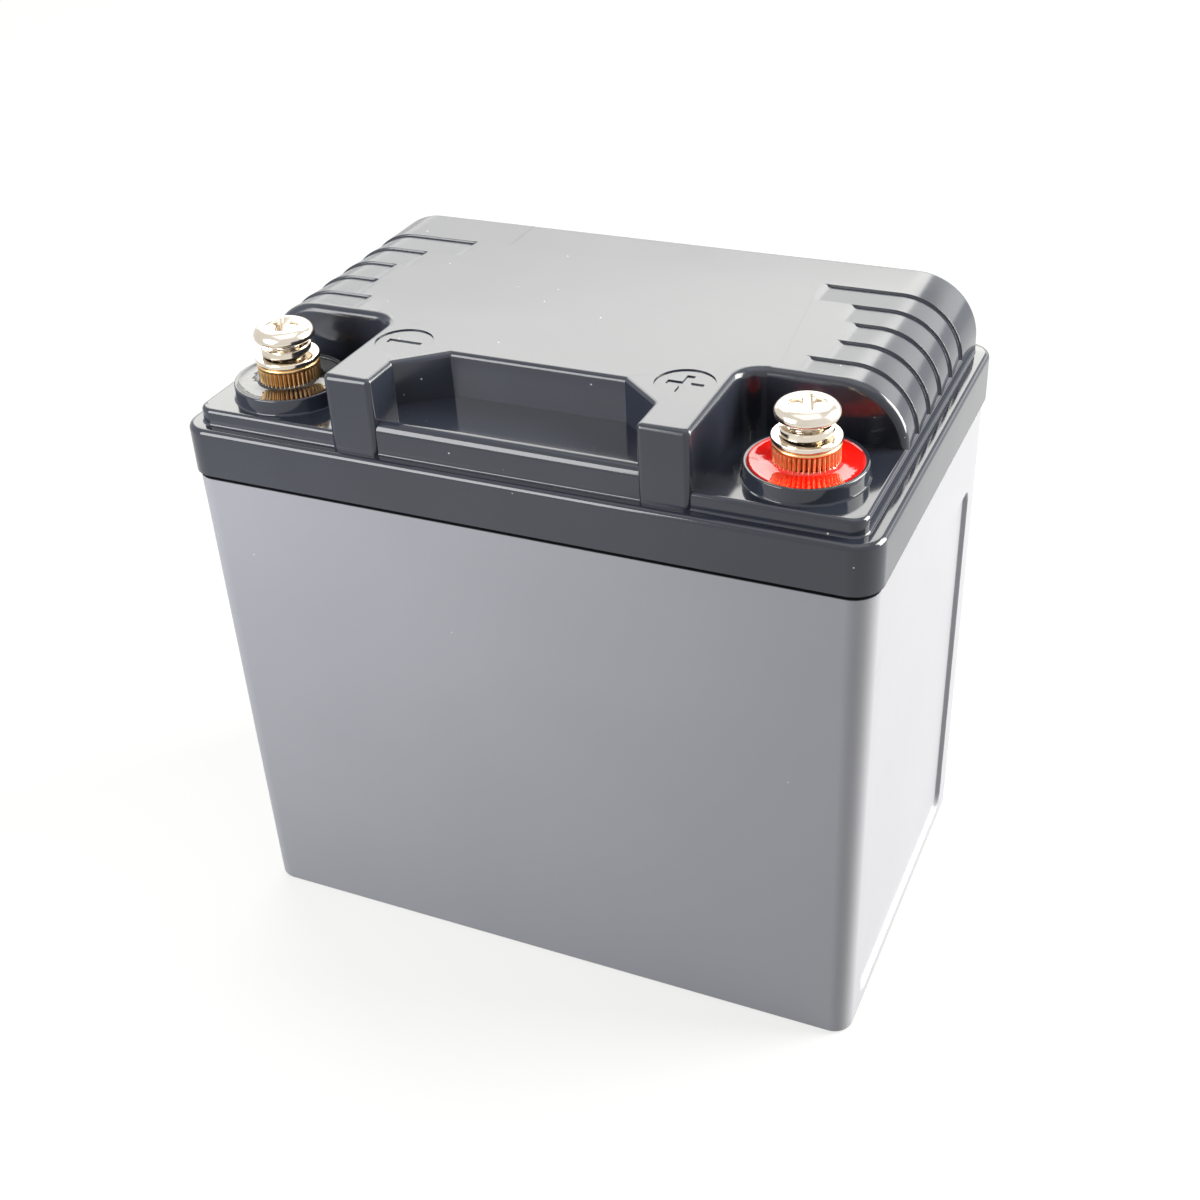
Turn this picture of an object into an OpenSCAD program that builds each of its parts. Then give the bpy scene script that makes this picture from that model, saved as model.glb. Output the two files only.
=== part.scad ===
// Sealed battery pack for a small vehicle. Twelve cylindrical cells, a management
// board and two screw terminals sit in a two-piece moulded plastic case.
// Origin: centre of the foot. +Z is up and the finger recess faces -Y. Millimetres.

/* [Overall] */
// Width over the lid
pack_w = 112; // [108:1:130]
// Depth over the lid
pack_d = 69; // [67:1:85]
// Height from the foot to the flat top of the lid
pack_h = 106; // [105:1:125]
// Radius of the upright corners of the lid
corner_r = 4.5; // [3.5:0.5:6]

/* [Lower case] */
// Thickness of the side walls
case_wall = 2.2; // [1.6:0.1:2.4]
// Thickness of the floor
case_floor = 2; // [1.5:0.1:3]
// How far each wall leans in from the shoulder to the foot
case_draft = 0.8; // [0.2:0.1:1]
// Height of the upright tongue that reaches into the lid
tongue_h = 2.5; // [2:0.1:3.5]
// Depth of the shallow panel in each end wall
panel_depth = 0.8; // [0.3:0.1:1.2]
// Width of that panel
panel_w = 52; // [40:1:56]
// Distance of the panel's lower edge from the foot
panel_foot = 3; // [2:0.5:10]
// Distance of the panel's upper edge from the shoulder
panel_drop = 14; // [8:0.5:30]
// Corner radius of that panel
panel_r = 2.5; // [1:0.5:5]

/* [Lid] */
// Thickness of the lid's walls
lid_wall = 2.4; // [2:0.1:2.8]
// Height of the lid above the shoulder of the case
lid_h = 21; // [20:0.5:24]
// How far the lid stands out past the case
lid_overhang = 0.5; // [0.2:0.1:0.8]
// Thickness of the skirt's lip outside the tongue
skirt_lip = 1.5; // [1.2:0.1:1.8]
// Open shadow gap between the case and the lid
seam_gap = 0.5; // [0.3:0.05:0.8]
// Width of the ledge at the two ends
ledge_end = 2.5; // [1.5:0.1:3.5]
// Width of the ledge at the front and the back
ledge_side = 2.1; // [1.5:0.1:3]
// Height of the deck above the ledge
deck_rise = 2.7; // [2:0.1:3.5]
// Radius of the deck's upright corners
deck_r = 2.5; // [1.5:0.5:4]
// Height of the raised block above the deck
block_rise = 9.6; // [8.5:0.1:10.2]
// Radius that rounds both ends of the raised block
block_end_r = 10.2; // [9.8:0.1:12]

/* [Finger recess and pockets] */
// Distance between the outer faces of the two horns
horn_span = 57.8; // [54:0.2:60]
// Distance between the inner faces of the two horns
recess_mouth = 41.8; // [36:0.2:44]
// Width of the recess along its back wall
recess_back = 28.2; // [20:0.2:34]
// Depth of the recess from the deck's front wall to its back wall
recess_depth = 12.2; // [9:0.2:13]
// Length of the recess's straight side walls
recess_side = 6.4; // [4:0.2:8]
// Depth of the recess floor below the flat top
recess_drop = 7.05; // [5:0.05:8]
// How far the horns stand out past the deck's front wall
horn_proud = 0.5; // [0.2:0.1:1]
// Depth of the terminal pockets from the deck's front wall to their back wall
pocket_depth = 21.4; // [20.6:0.2:23]
// Radius where the pocket's back wall meets the horn
pocket_r = 3.5; // [2:0.5:5]

/* [Fins] */
// Number of sawtooth fins at each end
fin_count = 5; // [3:1:5]
// How much shorter the last fin is than the others
fin_trim = 0.4; // [0:0.1:2]
// Height of each fin's step
fin_step = 0.5; // [0.2:0.05:0.8]
// Plain stretch behind the first fin
fin_plain = 10.8; // [8:0.2:11]
// Distance between the inner ends of the fins, the width of the plain top
plain_top_w = 78.6; // [66:0.2:80]
// Corner radius of the plain top towards the recess
plain_front_r = 8; // [5:0.5:10]
// Corner radius of the plain top towards the back
plain_back_r = 13.6; // [8:0.2:14]
// Distance of the plain top's front edge behind the pocket's back wall
plain_front = 4; // [2:0.5:6]
// Distance of the plain top's back edge in front of the block's back
plain_back = 9.5; // [8:0.5:12]

/* [Polarity marks] */
// Diameter of each polarity disc
mark_d = 9; // [7:0.5:10]
// Distance of each disc from the middle of the pack
mark_x = 22.8; // [22.4:0.1:23.4]
// Distance of each disc behind the deck's front wall
mark_y = 13.6; // [12:0.2:15]
// Depth of the disc, and of the sign below it
mark_depth = 0.3; // [0.2:0.05:0.4]
// Length of the bars of the plus and the minus
mark_bar = 5.6; // [4:0.2:6]
// Width of those bars
mark_bar_w = 1.3; // [0.8:0.1:1.8]

/* [Terminals] */
// Distance of each terminal's axis from the end of the lid
terminal_inset = 14; // [13.5:0.1:15]
// Distance of each terminal's axis behind the deck's front wall
terminal_y = 10.1; // [9.6:0.1:10.4]
// Outer diameter of the boss round each terminal
boss_d = 17.7; // [16:0.1:18]
// Height of the boss above the deck
boss_h = 2.5; // [1.5:0.1:3.5]
// Wall of the boss round the resin
boss_wall = 0.6; // [0.5:0.1:1.2]
// Depth of the resin in the boss
resin_depth = 1.8; // [1:0.1:2.4]
// Diameter of the pad under the deck that holds the insert
pad_d = 14; // [12:0.5:16]
// How far the insert reaches above the deck
insert_top = 5.7; // [5:0.1:7]
// Length of the insert
insert_len = 15.1; // [14.5:0.1:17]
// Diameter over the insert's knurl
insert_d = 9.8; // [9:0.1:10.4]
// Depth of the knurl
knurl_depth = 0.35; // [0.2:0.05:0.5]
// Number of teeth in the knurl
knurl_count = 40; // [30:1:48]
// Height of the smooth collar at the insert's top
collar_h = 1.3; // [0.8:0.1:2]
// How far that collar stands out past the knurl
collar_lip = 0.1; // [0.05:0.05:0.2]
// Chamfer of that collar
collar_chamfer = 0.5; // [0.2:0.05:0.7]
// Diameter of the screw thread
thread_d = 4.9; // [4.5:0.05:5]
// Length of the terminal screw under its head
screw_len = 12; // [10:0.5:13]
// Diameter of the screw heads
head_d = 9.4; // [8:0.1:10]
// Height of the screw heads
head_h = 2.6; // [2.2:0.1:3.6]
// Rounding of the screw heads
head_round = 1.4; // [0.5:0.1:1.8]
// Length of the cross recess
cross_len = 5; // [4:0.1:6]
// Width of the cross recess
cross_w = 1.1; // [0.8:0.05:1.4]
// Depth of the cross recess
cross_depth = 1.7; // [1:0.1:2]
// Outer diameter of the flat washer
washer_d = 10; // [9:0.1:11]
// Thickness of the flat washer
washer_t = 0.8; // [0.5:0.1:1.2]
// Side of the square section of the spring washer
spring_side = 1.25; // [1:0.05:1.4]
// Angle of the spring washer's split
spring_split = 12; // [10:1:20]
// Thickness of the ring lug
lug_t = 1; // [0.8:0.1:1.4]
// Outer diameter of the ring lug
lug_d = 10; // [9:0.1:11]
// Length of the lug's barrel
barrel_len = 8; // [6:0.5:9]
// Wall of the lug's barrel
barrel_wall = 0.6; // [0.5:0.05:0.9]
// Length of the screw that holds the lug from inside
lug_screw_len = 6; // [5:0.5:7]

/* [Cells] */
// Diameter of a bare cell
cell_d = 18; // [17.6:0.1:18.2]
// Length of a cell
cell_len = 65; // [60:0.5:66]
// Thickness of a cell's sleeve
sleeve_t = 0.2; // [0.1:0.05:0.3]
// Least gap between neighbouring sleeves
cell_gap = 0.5; // [0.4:0.1:0.8]
// Height of each moulded cell holder
holder_h = 8; // [6:0.5:10]
// Thickness of the holder's lip across the cell ends
lip_t = 1.5; // [1:0.1:2]
// Diameter of the opening in that lip
lip_d = 14; // [12:0.5:15]
// Width of the welded nickel strips
strip_w = 8; // [6:0.5:9]
// Thickness of those strips
strip_t = 0.3; // [0.15:0.05:0.4]
// Distance of the strips' front ends from the front of the cell holders
strip_margin = 5.8; // [5:0.2:7]
// Thickness of the foam under the cells
base_foam_t = 1.5; // [1:0.1:2.5]
// Thickness of the foam in front of the cells and behind them
side_foam_t = 1.2; // [0.8:0.1:1.4]
// Thickness of the foam at the two ends of the cells
end_foam_t = 6; // [5:0.5:8]

/* [Board] */
// Thickness of the insulation sheet
sheet_t = 0.5; // [0.3:0.1:0.8]
// Thickness of the adhesive pad under the board
tape_t = 1; // [0.5:0.1:1.5]
// Width of the management board
board_w = 62; // [58:1:66]
// Depth of the management board
board_d = 36; // [34:1:37]
// Thickness of the board
board_t = 1.6; // [1:0.1:2]
// Number of switching transistors in the row
mosfet_count = 6; // [3:1:6]
// Width of one transistor
mosfet_w = 6.5; // [5:0.1:6.8]
// Height of one transistor
mosfet_h = 2.3; // [1.5:0.1:3]
// Height of the control chips
chip_h = 1.6; // [1:0.1:2]
// Pitch of the pins in the balance connector
balance_pitch = 2; // [1.5:0.05:2.5]
// Height of the balance header
header_h = 5; // [4:0.5:6]

/* [Leads] */
// Outer diameter of the power leads
lead_d = 3.2; // [2.4:0.1:3.4]
// Outer diameter of the balance leads
sense_d = 1.2; // [0.8:0.1:1.3]

/* [Fit] */
// Clearance between parts that slide together or are laid in
fit_gap = 0.2; // [0.1:0.05:0.3]
// Clearance round the thread, the insert and the sleeves
thread_gap = 0.05; // [0.02:0.01:0.08]

/* [Hidden] */

eps = 0.01;
corner_fn = 32;
round_fn = 96;
lead_fn = 8;
lead_steps = 18;

// Levels, counted up from the foot
shoulder_z = pack_h - lid_h;
skirt_z = shoulder_z + seam_gap;
deck_z = pack_h - block_rise;
ledge_z = deck_z - deck_rise;
sealant_t = 2 * seam_gap;
rest_z = shoulder_z + tongue_h + sealant_t;
recess_z = pack_h - recess_drop;

// The lid in plan
deck_half_w = pack_w / 2 - ledge_end;
deck_half_d = pack_d / 2 - ledge_side;
deck_front = -deck_half_d;
pocket_back = deck_front + pocket_depth;
horn_half = horn_span / 2;
end_x = deck_half_w - block_end_r;
end_z = pack_h - block_end_r;
first_fin = deck_half_d - fin_plain;
fin_pitch = (first_fin - pocket_back + fin_trim) / fin_count;

// The case in plan
case_half_w = pack_w / 2 - lid_overhang;
case_half_d = pack_d / 2 - lid_overhang;
inner_half_w = case_half_w - case_wall;
inner_half_d = case_half_d - case_wall;
foot_half_w = inner_half_w - case_draft;
foot_half_d = inner_half_d - case_draft;

// Terminals
terminal_x = pack_w / 2 - terminal_inset;
terminal_back = deck_front + terminal_y;
insert_z = deck_z + insert_top;
insert_foot = insert_z - insert_len;
washer_z = insert_z + washer_t;
spring_rise = spring_side;
spring_start = 200;
cross_turn = 20;
head_z = washer_z + spring_side + spring_rise + thread_gap;
spring_r = thread_d / 2 + fit_gap + spring_side / 2;
hole_d = thread_d + 2 * fit_gap;
barrel_bore = lead_d + 2 * thread_gap;
barrel_d = barrel_bore + 2 * barrel_wall;
barrel_z = insert_foot - barrel_d / 2;
barrel_neck = 1;
mouth_gap = 1;
barrel_start = lug_d / 2 + barrel_neck;
barrel_end = terminal_back + barrel_start + barrel_len;

// Cells and their holders
sleeved_d = cell_d + 2 * thread_gap + 2 * sleeve_t;
holder_z = case_floor + base_foam_t;
cell_z = holder_z + lip_t;
cell_top = cell_z + cell_len;
holder_top = cell_top + lip_t;
holder_half_w = foot_half_w - end_foam_t - 2 * fit_gap;
holder_half_d = foot_half_d - side_foam_t - 2 * fit_gap;
cell_columns = 4;
cell_rows = floor(2 * holder_half_d / (sleeved_d + cell_gap));
column_pitch = 2 * holder_half_w / cell_columns;
row_pitch = 2 * holder_half_d / cell_rows;
groove_w = 1;
groove_up = 3;
groove_depth = 0.5;
strip_top = cell_top + strip_t;
strip_foot = cell_z - strip_t;
tab_reach = 3;
slot_w = strip_w + 2 * fit_gap;
strip_front = strip_margin - holder_half_d;

// Insulation and board
sheet_z = holder_top;
sheet_half_w = terminal_x - barrel_d / 2 - fit_gap;
lead_room = 1;
tape_z = sheet_z + sheet_t;
board_z = tape_z + tape_t;
board_top = board_z + board_t;
board_margin = 1.4;
board_back = holder_half_d - board_margin;
board_front = board_back - board_d;
balance_pins = cell_columns + 1;
header_len = (balance_pins + 1) * balance_pitch;
header_w = 5;
header_wall = 0.5;
plug_h = 3;
header_inset = 1;
header_x = board_w / 2 - header_w / 2 - header_inset;
header_y = board_front + board_d / 2;
plug_top = board_top + header_h + plug_h;
tape_inset = 2;
mosfet_inset = 4;
mosfet_gap = 1.2;
mosfet_row = 13;
mosfet_y = board_front + mosfet_row;
chip_row = 23;
chip_y = board_front + chip_row;
chip_size = [6, 5, chip_h];
chip_inset = 13;
chip_step = 12;
regulator_size = [3, 3, chip_h];
regulator_inset = 37;
shunt_row = 3;
shunt_y = board_front + shunt_row;
shunt_size = [6.4, 3.2, 0.8];
shunt_inset = 25;
shunt_step = 8;

// Foam
notch_room = 1;
hold_down_inset = 4;
hold_down_gap = 3;
hold_down_w = recess_mouth - 2 * hold_down_inset;
hold_down_front = deck_front + 2 * lid_wall;
hold_down_back = board_front - hold_down_gap;

least_r = 0.6;
function column_x(i) = (i - (cell_columns - 1) / 2) * column_pitch;
function row_y(j) = (j - (cell_rows - 1) / 2) * row_pitch;
function inner_r(inset) = max(corner_r - inset, least_r);

// Solder pads for the power leads near the board's front left corner
pad_row = 4;
pad_y = board_front + pad_row;
function pad_x(i) = -board_w / 2 + lead_d + i * 2.5 * lead_d;

// Where leads are soldered to the strips on top of the cells, as [x, y]
power_row = strip_front + strip_w / 2;
sense_row = (power_row + board_front) / 2;
spot_shift = 2.4;
positive_spot = [column_x(3) - spot_shift, power_row];
negative_spot = [column_x(0), power_row];
sense_spots = [
    [column_x(3), sense_row],
    [column_x(2), (board_front + hold_down_back) / 2],
    [column_x(0) + spot_shift, sense_row]
];

// How far the leads rise before they bend over
power_rise = 14;
pad_rise = 11;
loop_len = 12;
sense_rises = [12, 16, 22];

// The child, and its mirror image at the other end of the pack
module both_ends() {
    children();
    mirror([1, 0, 0]) children();
}

// A rectangle with true round corners
module rounded_rect(w, d, r) {
    square([w - 2 * r, d], center = true);
    square([w, d - 2 * r], center = true);
    for (x = [-1, 1], y = [-1, 1])
        translate([x * (w / 2 - r), y * (d / 2 - r)]) circle(r, $fn = corner_fn);
}

module rounded_block(half_w, half_d, r, z, h) {
    translate([0, 0, z]) linear_extrude(h) rounded_rect(2 * half_w, 2 * half_d, r);
}

// A rounded block whose walls lean in towards its lower face
module drafted_block(half_w, half_d, r, z, h) {
    hull() {
        rounded_block(half_w - case_draft, half_d - case_draft, r, z, eps);
        rounded_block(half_w, half_d, r, z + h - eps, eps);
    }
}

module tube(d_outer, d_inner, h) {
    difference() {
        cylinder(d = d_outer, h = h, $fn = round_fn);
        translate([0, 0, -1]) cylinder(d = d_inner, h = h + 2, $fn = round_fn);
    }
}

module at_terminal(side) {
    translate([side * terminal_x, terminal_back, 0]) children();
}

// ---- Case ----

module panel_outline() {
    panel_h = shoulder_z - panel_drop - panel_foot;
    translate([0, panel_foot + panel_h / 2]) rounded_rect(panel_w, panel_h, panel_r);
}

// A slab outside the panel's floor, which leans with the end wall
module leaning_slab() {
    lean = atan(case_draft / shoulder_z);
    translate([case_half_w - case_draft - panel_depth, 0, 0]) rotate([0, lean, 0])
        translate([0, -pack_d / 2, -pack_h]) cube([pack_w / 4, pack_d, 3 * pack_h]);
}

module end_panels() {
    both_ends() intersection() {
        rotate([90, 0, 90]) linear_extrude(pack_w) panel_outline();
        leaning_slab();
    }
}

module lower_case() {
    outer_r = inner_r(lid_overhang);
    hollow_r = inner_r(lid_overhang + case_wall);
    tongue_r = inner_r(skirt_lip + fit_gap);
    tongue_half_w = pack_w / 2 - skirt_lip - fit_gap;
    tongue_half_d = pack_d / 2 - skirt_lip - fit_gap;
    color("slategray") difference() {
        union() {
            drafted_block(case_half_w, case_half_d, outer_r, 0, shoulder_z);
            rounded_block(tongue_half_w, tongue_half_d, tongue_r,
                shoulder_z - eps, tongue_h + eps);
        }
        drafted_block(inner_half_w, inner_half_d, hollow_r, case_floor,
            shoulder_z - case_floor);
        rounded_block(inner_half_w, inner_half_d, hollow_r,
            shoulder_z - eps, tongue_h + 1);
        end_panels();
    }
}

// ---- Lid ----

// A stretch of the raised block at its full level, with both ends rounded
module full_stretch(y, length) {
    translate([0, y, 0]) rotate([90, 0, 0]) linear_extrude(length) {
        translate([-end_x, ledge_z]) square([2 * end_x, pack_h - ledge_z]);
        translate([-deck_half_w, ledge_z]) square([2 * deck_half_w, end_z - ledge_z]);
        both_ends() translate([end_x, end_z]) circle(block_end_r, $fn = round_fn);
    }
}

// One fin: it starts a step below the full level and climbs to it
module fin(y, length) {
    drop = fin_step * (1 - length / fin_pitch);
    rotate([90, 0, 90]) linear_extrude(2 * end_x, center = true)
        polygon([[y, ledge_z], [y, pack_h - fin_step], [y - length, pack_h - drop],
            [y - length, ledge_z]]);
    both_ends() translate([end_x, y, end_z]) rotate([90, 0, 0])
        cylinder(h = length, r1 = block_end_r - fin_step, r2 = block_end_r - drop,
            $fn = round_fn);
}

// The last fin ends in the back wall of the pockets
module fins() {
    for (i = [0 : fin_count - 1])
        fin(first_fin - i * fin_pitch, fin_pitch - (i == fin_count - 1 ? fin_trim : 0));
}

// The plain top between the inner ends of the fins
module plain_top() {
    front = pocket_back + plain_front;
    back = deck_half_d - plain_back;
    half = plain_top_w / 2;
    front_r = plain_front_r;
    back_r = plain_back_r;
    translate([0, 0, ledge_z]) linear_extrude(pack_h - ledge_z) {
        translate([front_r - half, front]) square([2 * (half - front_r), back - front]);
        translate([-half, front + front_r])
            square([2 * half, back - back_r - front - front_r]);
        translate([back_r - half, front + front_r])
            square([2 * (half - back_r), back - front - front_r]);
        both_ends() {
            translate([half - front_r, front + front_r]) circle(front_r, $fn = round_fn);
            translate([half - back_r, back - back_r]) circle(back_r, $fn = round_fn);
        }
    }
}

// The front of the block: the bridge behind the recess and the two horns
module front_of_block() {
    horn_inner = recess_mouth / 2;
    translate([0, 0, ledge_z]) linear_extrude(pack_h - ledge_z) {
        translate([-horn_half, deck_front])
            square([horn_span, pocket_depth + plain_front + plain_front_r]);
        both_ends() {
            translate([horn_inner, deck_front - horn_proud])
                square([horn_half - horn_inner, pocket_depth]);
            difference() {
                translate([horn_half - pocket_r, pocket_back - pocket_r])
                    square([2 * pocket_r, pocket_r + eps]);
                translate([horn_half + pocket_r, pocket_back - pocket_r])
                    circle(pocket_r, $fn = round_fn);
            }
        }
    }
}

module recess() {
    back = deck_front + recess_depth;
    side = deck_front + recess_side;
    mouth = recess_mouth / 2;
    translate([0, 0, recess_z]) linear_extrude(recess_drop + 1)
        polygon([[-recess_back / 2, back], [recess_back / 2, back], [mouth, side],
            [mouth, -pack_d], [-mouth, -pack_d], [-mouth, side]]);
}

// Everything that is hollow under the lid's skin
module lid_hollow() {
    lip_r = inner_r(skirt_lip);
    wall_r = inner_r(lid_wall);
    lip_half_w = pack_w / 2 - skirt_lip;
    lip_half_d = pack_d / 2 - skirt_lip;
    block_front = pocket_back + lid_wall;
    block_len = deck_half_d - lid_wall - block_front;
    horn_inner = recess_mouth / 2 + lid_wall;
    bridge_y = deck_front + recess_depth + lid_wall;
    rounded_block(lip_half_w, lip_half_d, lip_r, skirt_z - 1, rest_z - skirt_z + 1);
    rounded_block(pack_w / 2 - lid_wall, pack_d / 2 - lid_wall, wall_r,
        skirt_z, ledge_z - lid_wall - skirt_z);
    rounded_block(deck_half_w - lid_wall, deck_half_d - lid_wall, wall_r,
        skirt_z, deck_z - lid_wall - skirt_z);
    translate([-end_x, block_front, skirt_z])
        cube([2 * end_x, block_len, pack_h - lid_wall - skirt_z]);
    translate([lid_wall - horn_half, deck_front + lid_wall, skirt_z])
        cube([horn_span - 2 * lid_wall, pocket_depth, recess_z - lid_wall - skirt_z]);
    translate([lid_wall - horn_half, bridge_y, skirt_z])
        cube([horn_span - 2 * lid_wall, block_front - bridge_y + 1,
            pack_h - lid_wall - skirt_z]);
    both_ends() {
        translate([end_x, block_front + block_len, end_z]) rotate([90, 0, 0])
            cylinder(h = block_len, r = block_end_r - lid_wall, $fn = round_fn);
        translate([horn_inner, deck_front + lid_wall, skirt_z])
            cube([horn_half - lid_wall - horn_inner, pocket_depth,
                pack_h - lid_wall - skirt_z]);
    }
}

module mark(side) {
    mark_z = pack_h - 2 * mark_depth;
    translate([side * mark_x, deck_front + mark_y, 0]) {
        translate([0, 0, pack_h - mark_depth])
            cylinder(d = mark_d, h = 1, $fn = round_fn);
        translate([-mark_bar / 2, -mark_bar_w / 2, mark_z])
            cube([mark_bar, mark_bar_w, 1]);
        if (side > 0)
            translate([-mark_bar_w / 2, -mark_bar / 2, mark_z])
                cube([mark_bar_w, mark_bar, 1]);
    }
}

module lid() {
    cup_z = deck_z + boss_h - resin_depth;
    color("dimgray") difference() {
        union() {
            difference() {
                union() {
                    rounded_block(pack_w / 2, pack_d / 2, corner_r, skirt_z, ledge_z - skirt_z);
                    rounded_block(deck_half_w, deck_half_d, deck_r, ledge_z - 1, deck_rise + 1);
                    full_stretch(deck_half_d, fin_plain);
                    fins();
                    plain_top();
                    front_of_block();
                }
                lid_hollow();
            }
            both_ends() at_terminal(1) {
                translate([0, 0, insert_foot + lug_t])
                    cylinder(d = pad_d, h = deck_z - 1 - insert_foot - lug_t, $fn = round_fn);
                translate([0, 0, deck_z - 1]) cylinder(d = boss_d, h = boss_h + 1, $fn = round_fn);
            }
        }
        recess();
        both_ends() at_terminal(1) {
            translate([0, 0, cup_z])
                cylinder(d = boss_d - 2 * boss_wall, h = resin_depth + 1, $fn = round_fn);
            translate([0, 0, skirt_z])
                cylinder(d = insert_d + 2 * thread_gap, h = lid_h, $fn = round_fn);
        }
        mark(1);
        mark(-1);
    }
}

module lid_sealant() {
    outer_inset = skirt_lip + 2 * fit_gap;
    inner_inset = lid_overhang + case_wall;
    color("black") difference() {
        rounded_block(pack_w / 2 - outer_inset, pack_d / 2 - outer_inset,
            inner_r(outer_inset), shoulder_z + tongue_h, sealant_t);
        rounded_block(pack_w / 2 - inner_inset, pack_d / 2 - inner_inset,
            inner_r(inner_inset), shoulder_z, lid_h);
    }
}

// ---- Terminals ----

// Outline of the knurl: a ring of pointed teeth
function knurl_points() = [
    for (i = [0 : 2 * knurl_count - 1])
        let (a = i * 180 / knurl_count,
            r = insert_d / 2 - collar_lip - (i % 2) * knurl_depth)
        [r * cos(a), r * sin(a)]
];

module insert(side) {
    knurl_top = insert_z - collar_h;
    color("goldenrod") at_terminal(side) difference() {
        union() {
            translate([0, 0, insert_foot])
                linear_extrude(knurl_top - insert_foot) polygon(knurl_points());
            translate([0, 0, knurl_top - eps])
                cylinder(d = insert_d, h = collar_h - collar_chamfer + eps, $fn = round_fn);
            translate([0, 0, insert_z - collar_chamfer])
                cylinder(d1 = insert_d, d2 = insert_d - 2 * collar_chamfer,
                    h = collar_chamfer, $fn = round_fn);
        }
        translate([0, 0, insert_foot - 1])
            cylinder(d = thread_d + 2 * thread_gap, h = insert_len + 2, $fn = round_fn);
    }
}

module resin(side) {
    cup_d = boss_d - 2 * boss_wall;
    at_terminal(side) translate([0, 0, deck_z + boss_h - resin_depth])
        tube(cup_d, insert_d + 2 * thread_gap, resin_depth);
}

module flat_washer(side) {
    color("silver") at_terminal(side) translate([0, 0, insert_z])
        tube(washer_d, hole_d, washer_t);
}

// One square turn of wire that climbs by its own thickness round the screw
function spring_ring(a, rise) = let (s = spring_side / 2) [
    for (c = [[-s, -s], [s, -s], [s, s], [-s, s]])
        [(spring_r + c[0]) * cos(a), (spring_r + c[0]) * sin(a), c[1] + s + rise]
];

spring_steps = 48;
spring_turn = 360 - spring_split;
spring_points = [
    for (i = [0 : spring_steps])
        each spring_ring(i * spring_turn / spring_steps, i * spring_rise / spring_steps)
];

// Faces of a closed tube of so many rings of so many points, as triangles
function tube_faces(rings, sides) = concat(
    [for (k = [1 : sides - 2]) [0, k, k + 1]],
    [for (i = [0 : rings - 2], k = [0 : sides - 1], half = [0, 1])
        let (a = i * sides + k, b = i * sides + (k + 1) % sides)
        half == 0 ? [a, a + sides, b] : [b, a + sides, b + sides]],
    [for (k = [1 : sides - 2])
        let (last = (rings - 1) * sides) [last, last + k + 1, last + k]]
);

function least_gap(first, second) = min([for (p = first, q = second) norm(p - q)]);

spring_gap = least_gap([for (k = [0 : 3]) spring_points[k]],
    [for (k = [0 : 3]) spring_points[4 * spring_steps + k]]);
echo(str("least gap of the spring washer to itself: ", spring_gap, " mm"));

module spring_washer(side) {
    color("silver") at_terminal(side) translate([0, 0, washer_z])
        rotate([0, 0, spring_start])
        polyhedron(spring_points, tube_faces(spring_steps + 1, 4));
}

module pan_head() {
    rotate_extrude($fn = round_fn) {
        square([head_d / 2 - head_round, head_h]);
        square([head_d / 2, head_h - head_round]);
        translate([head_d / 2 - head_round, head_h - head_round]) intersection() {
            circle(head_round, $fn = corner_fn);
            square(head_round);
        }
    }
}

module cross_screw(length) {
    difference() {
        union() {
            pan_head();
            translate([0, 0, -length]) cylinder(d = thread_d, h = length + eps, $fn = round_fn);
        }
        for (turn = [cross_turn, cross_turn + 90]) rotate([0, 0, turn])
            translate([-cross_len / 2, -cross_w / 2, head_h - cross_depth])
                cube([cross_len, cross_w, cross_depth + 1]);
    }
}

module terminal_screw(side) {
    color("gainsboro") at_terminal(side) translate([0, 0, head_z]) cross_screw(screw_len);
}

// A ring with a closed-ended barrel below it, which opens towards the back
module lug(side) {
    plate_z = insert_foot - lug_t;
    color("silver") at_terminal(side) difference() {
        union() {
            translate([0, 0, plate_z]) cylinder(d = lug_d, h = lug_t, $fn = round_fn);
            translate([-barrel_d / 2, 0, plate_z])
                cube([barrel_d, barrel_start + barrel_wall, lug_t]);
            translate([0, barrel_start, barrel_z]) rotate([-90, 0, 0])
                cylinder(d = barrel_d, h = barrel_len, $fn = round_fn);
        }
        translate([0, 0, plate_z - 1]) cylinder(d = hole_d, h = lug_t + 2, $fn = round_fn);
        translate([0, barrel_start + barrel_wall, barrel_z]) rotate([-90, 0, 0])
            cylinder(d = barrel_bore, h = barrel_len, $fn = round_fn);
    }
}

module lug_screws() {
    color("gainsboro") for (side = [-1, 1])
        at_terminal(side) translate([0, 0, insert_foot - lug_t])
            mirror([0, 0, 1]) cross_screw(lug_screw_len);
}

// ---- Cells, holders and strips ----

module each_cell(columns) {
    for (i = columns, j = [0 : cell_rows - 1])
        translate([column_x(i), row_y(j), 0]) children();
}

// A can with the crimped groove near its positive end
module cell(positive_up) {
    groove_z = positive_up ? cell_top - groove_up - groove_w : cell_z + groove_up;
    difference() {
        translate([0, 0, cell_z]) cylinder(d = cell_d, h = cell_len, $fn = round_fn);
        translate([0, 0, groove_z]) tube(cell_d + 1, cell_d - 2 * groove_depth, groove_w);
    }
}

module cell_group(column) {
    color("lightgray") each_cell([column]) cell(column % 2 == 1);
}

module cell_sleeves() {
    color("teal") each_cell([0 : cell_columns - 1])
        translate([0, 0, cell_z]) tube(sleeved_d, cell_d + 2 * thread_gap, cell_len);
}

// Channels across the lip, in which the strips run from cell to cell
module strip_channels(z) {
    for (i = [0 : cell_columns - 1])
        translate([column_x(i) - slot_w / 2, strip_front - fit_gap, z])
            cube([slot_w, row_y(cell_rows - 1) - strip_front, lip_t + 1]);
    for (j = [0 : cell_rows - 1])
        translate([-holder_half_w - 1, row_y(j) - slot_w / 2, z])
            cube([2 * holder_half_w + 2, slot_w, lip_t + 1]);
}

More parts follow.
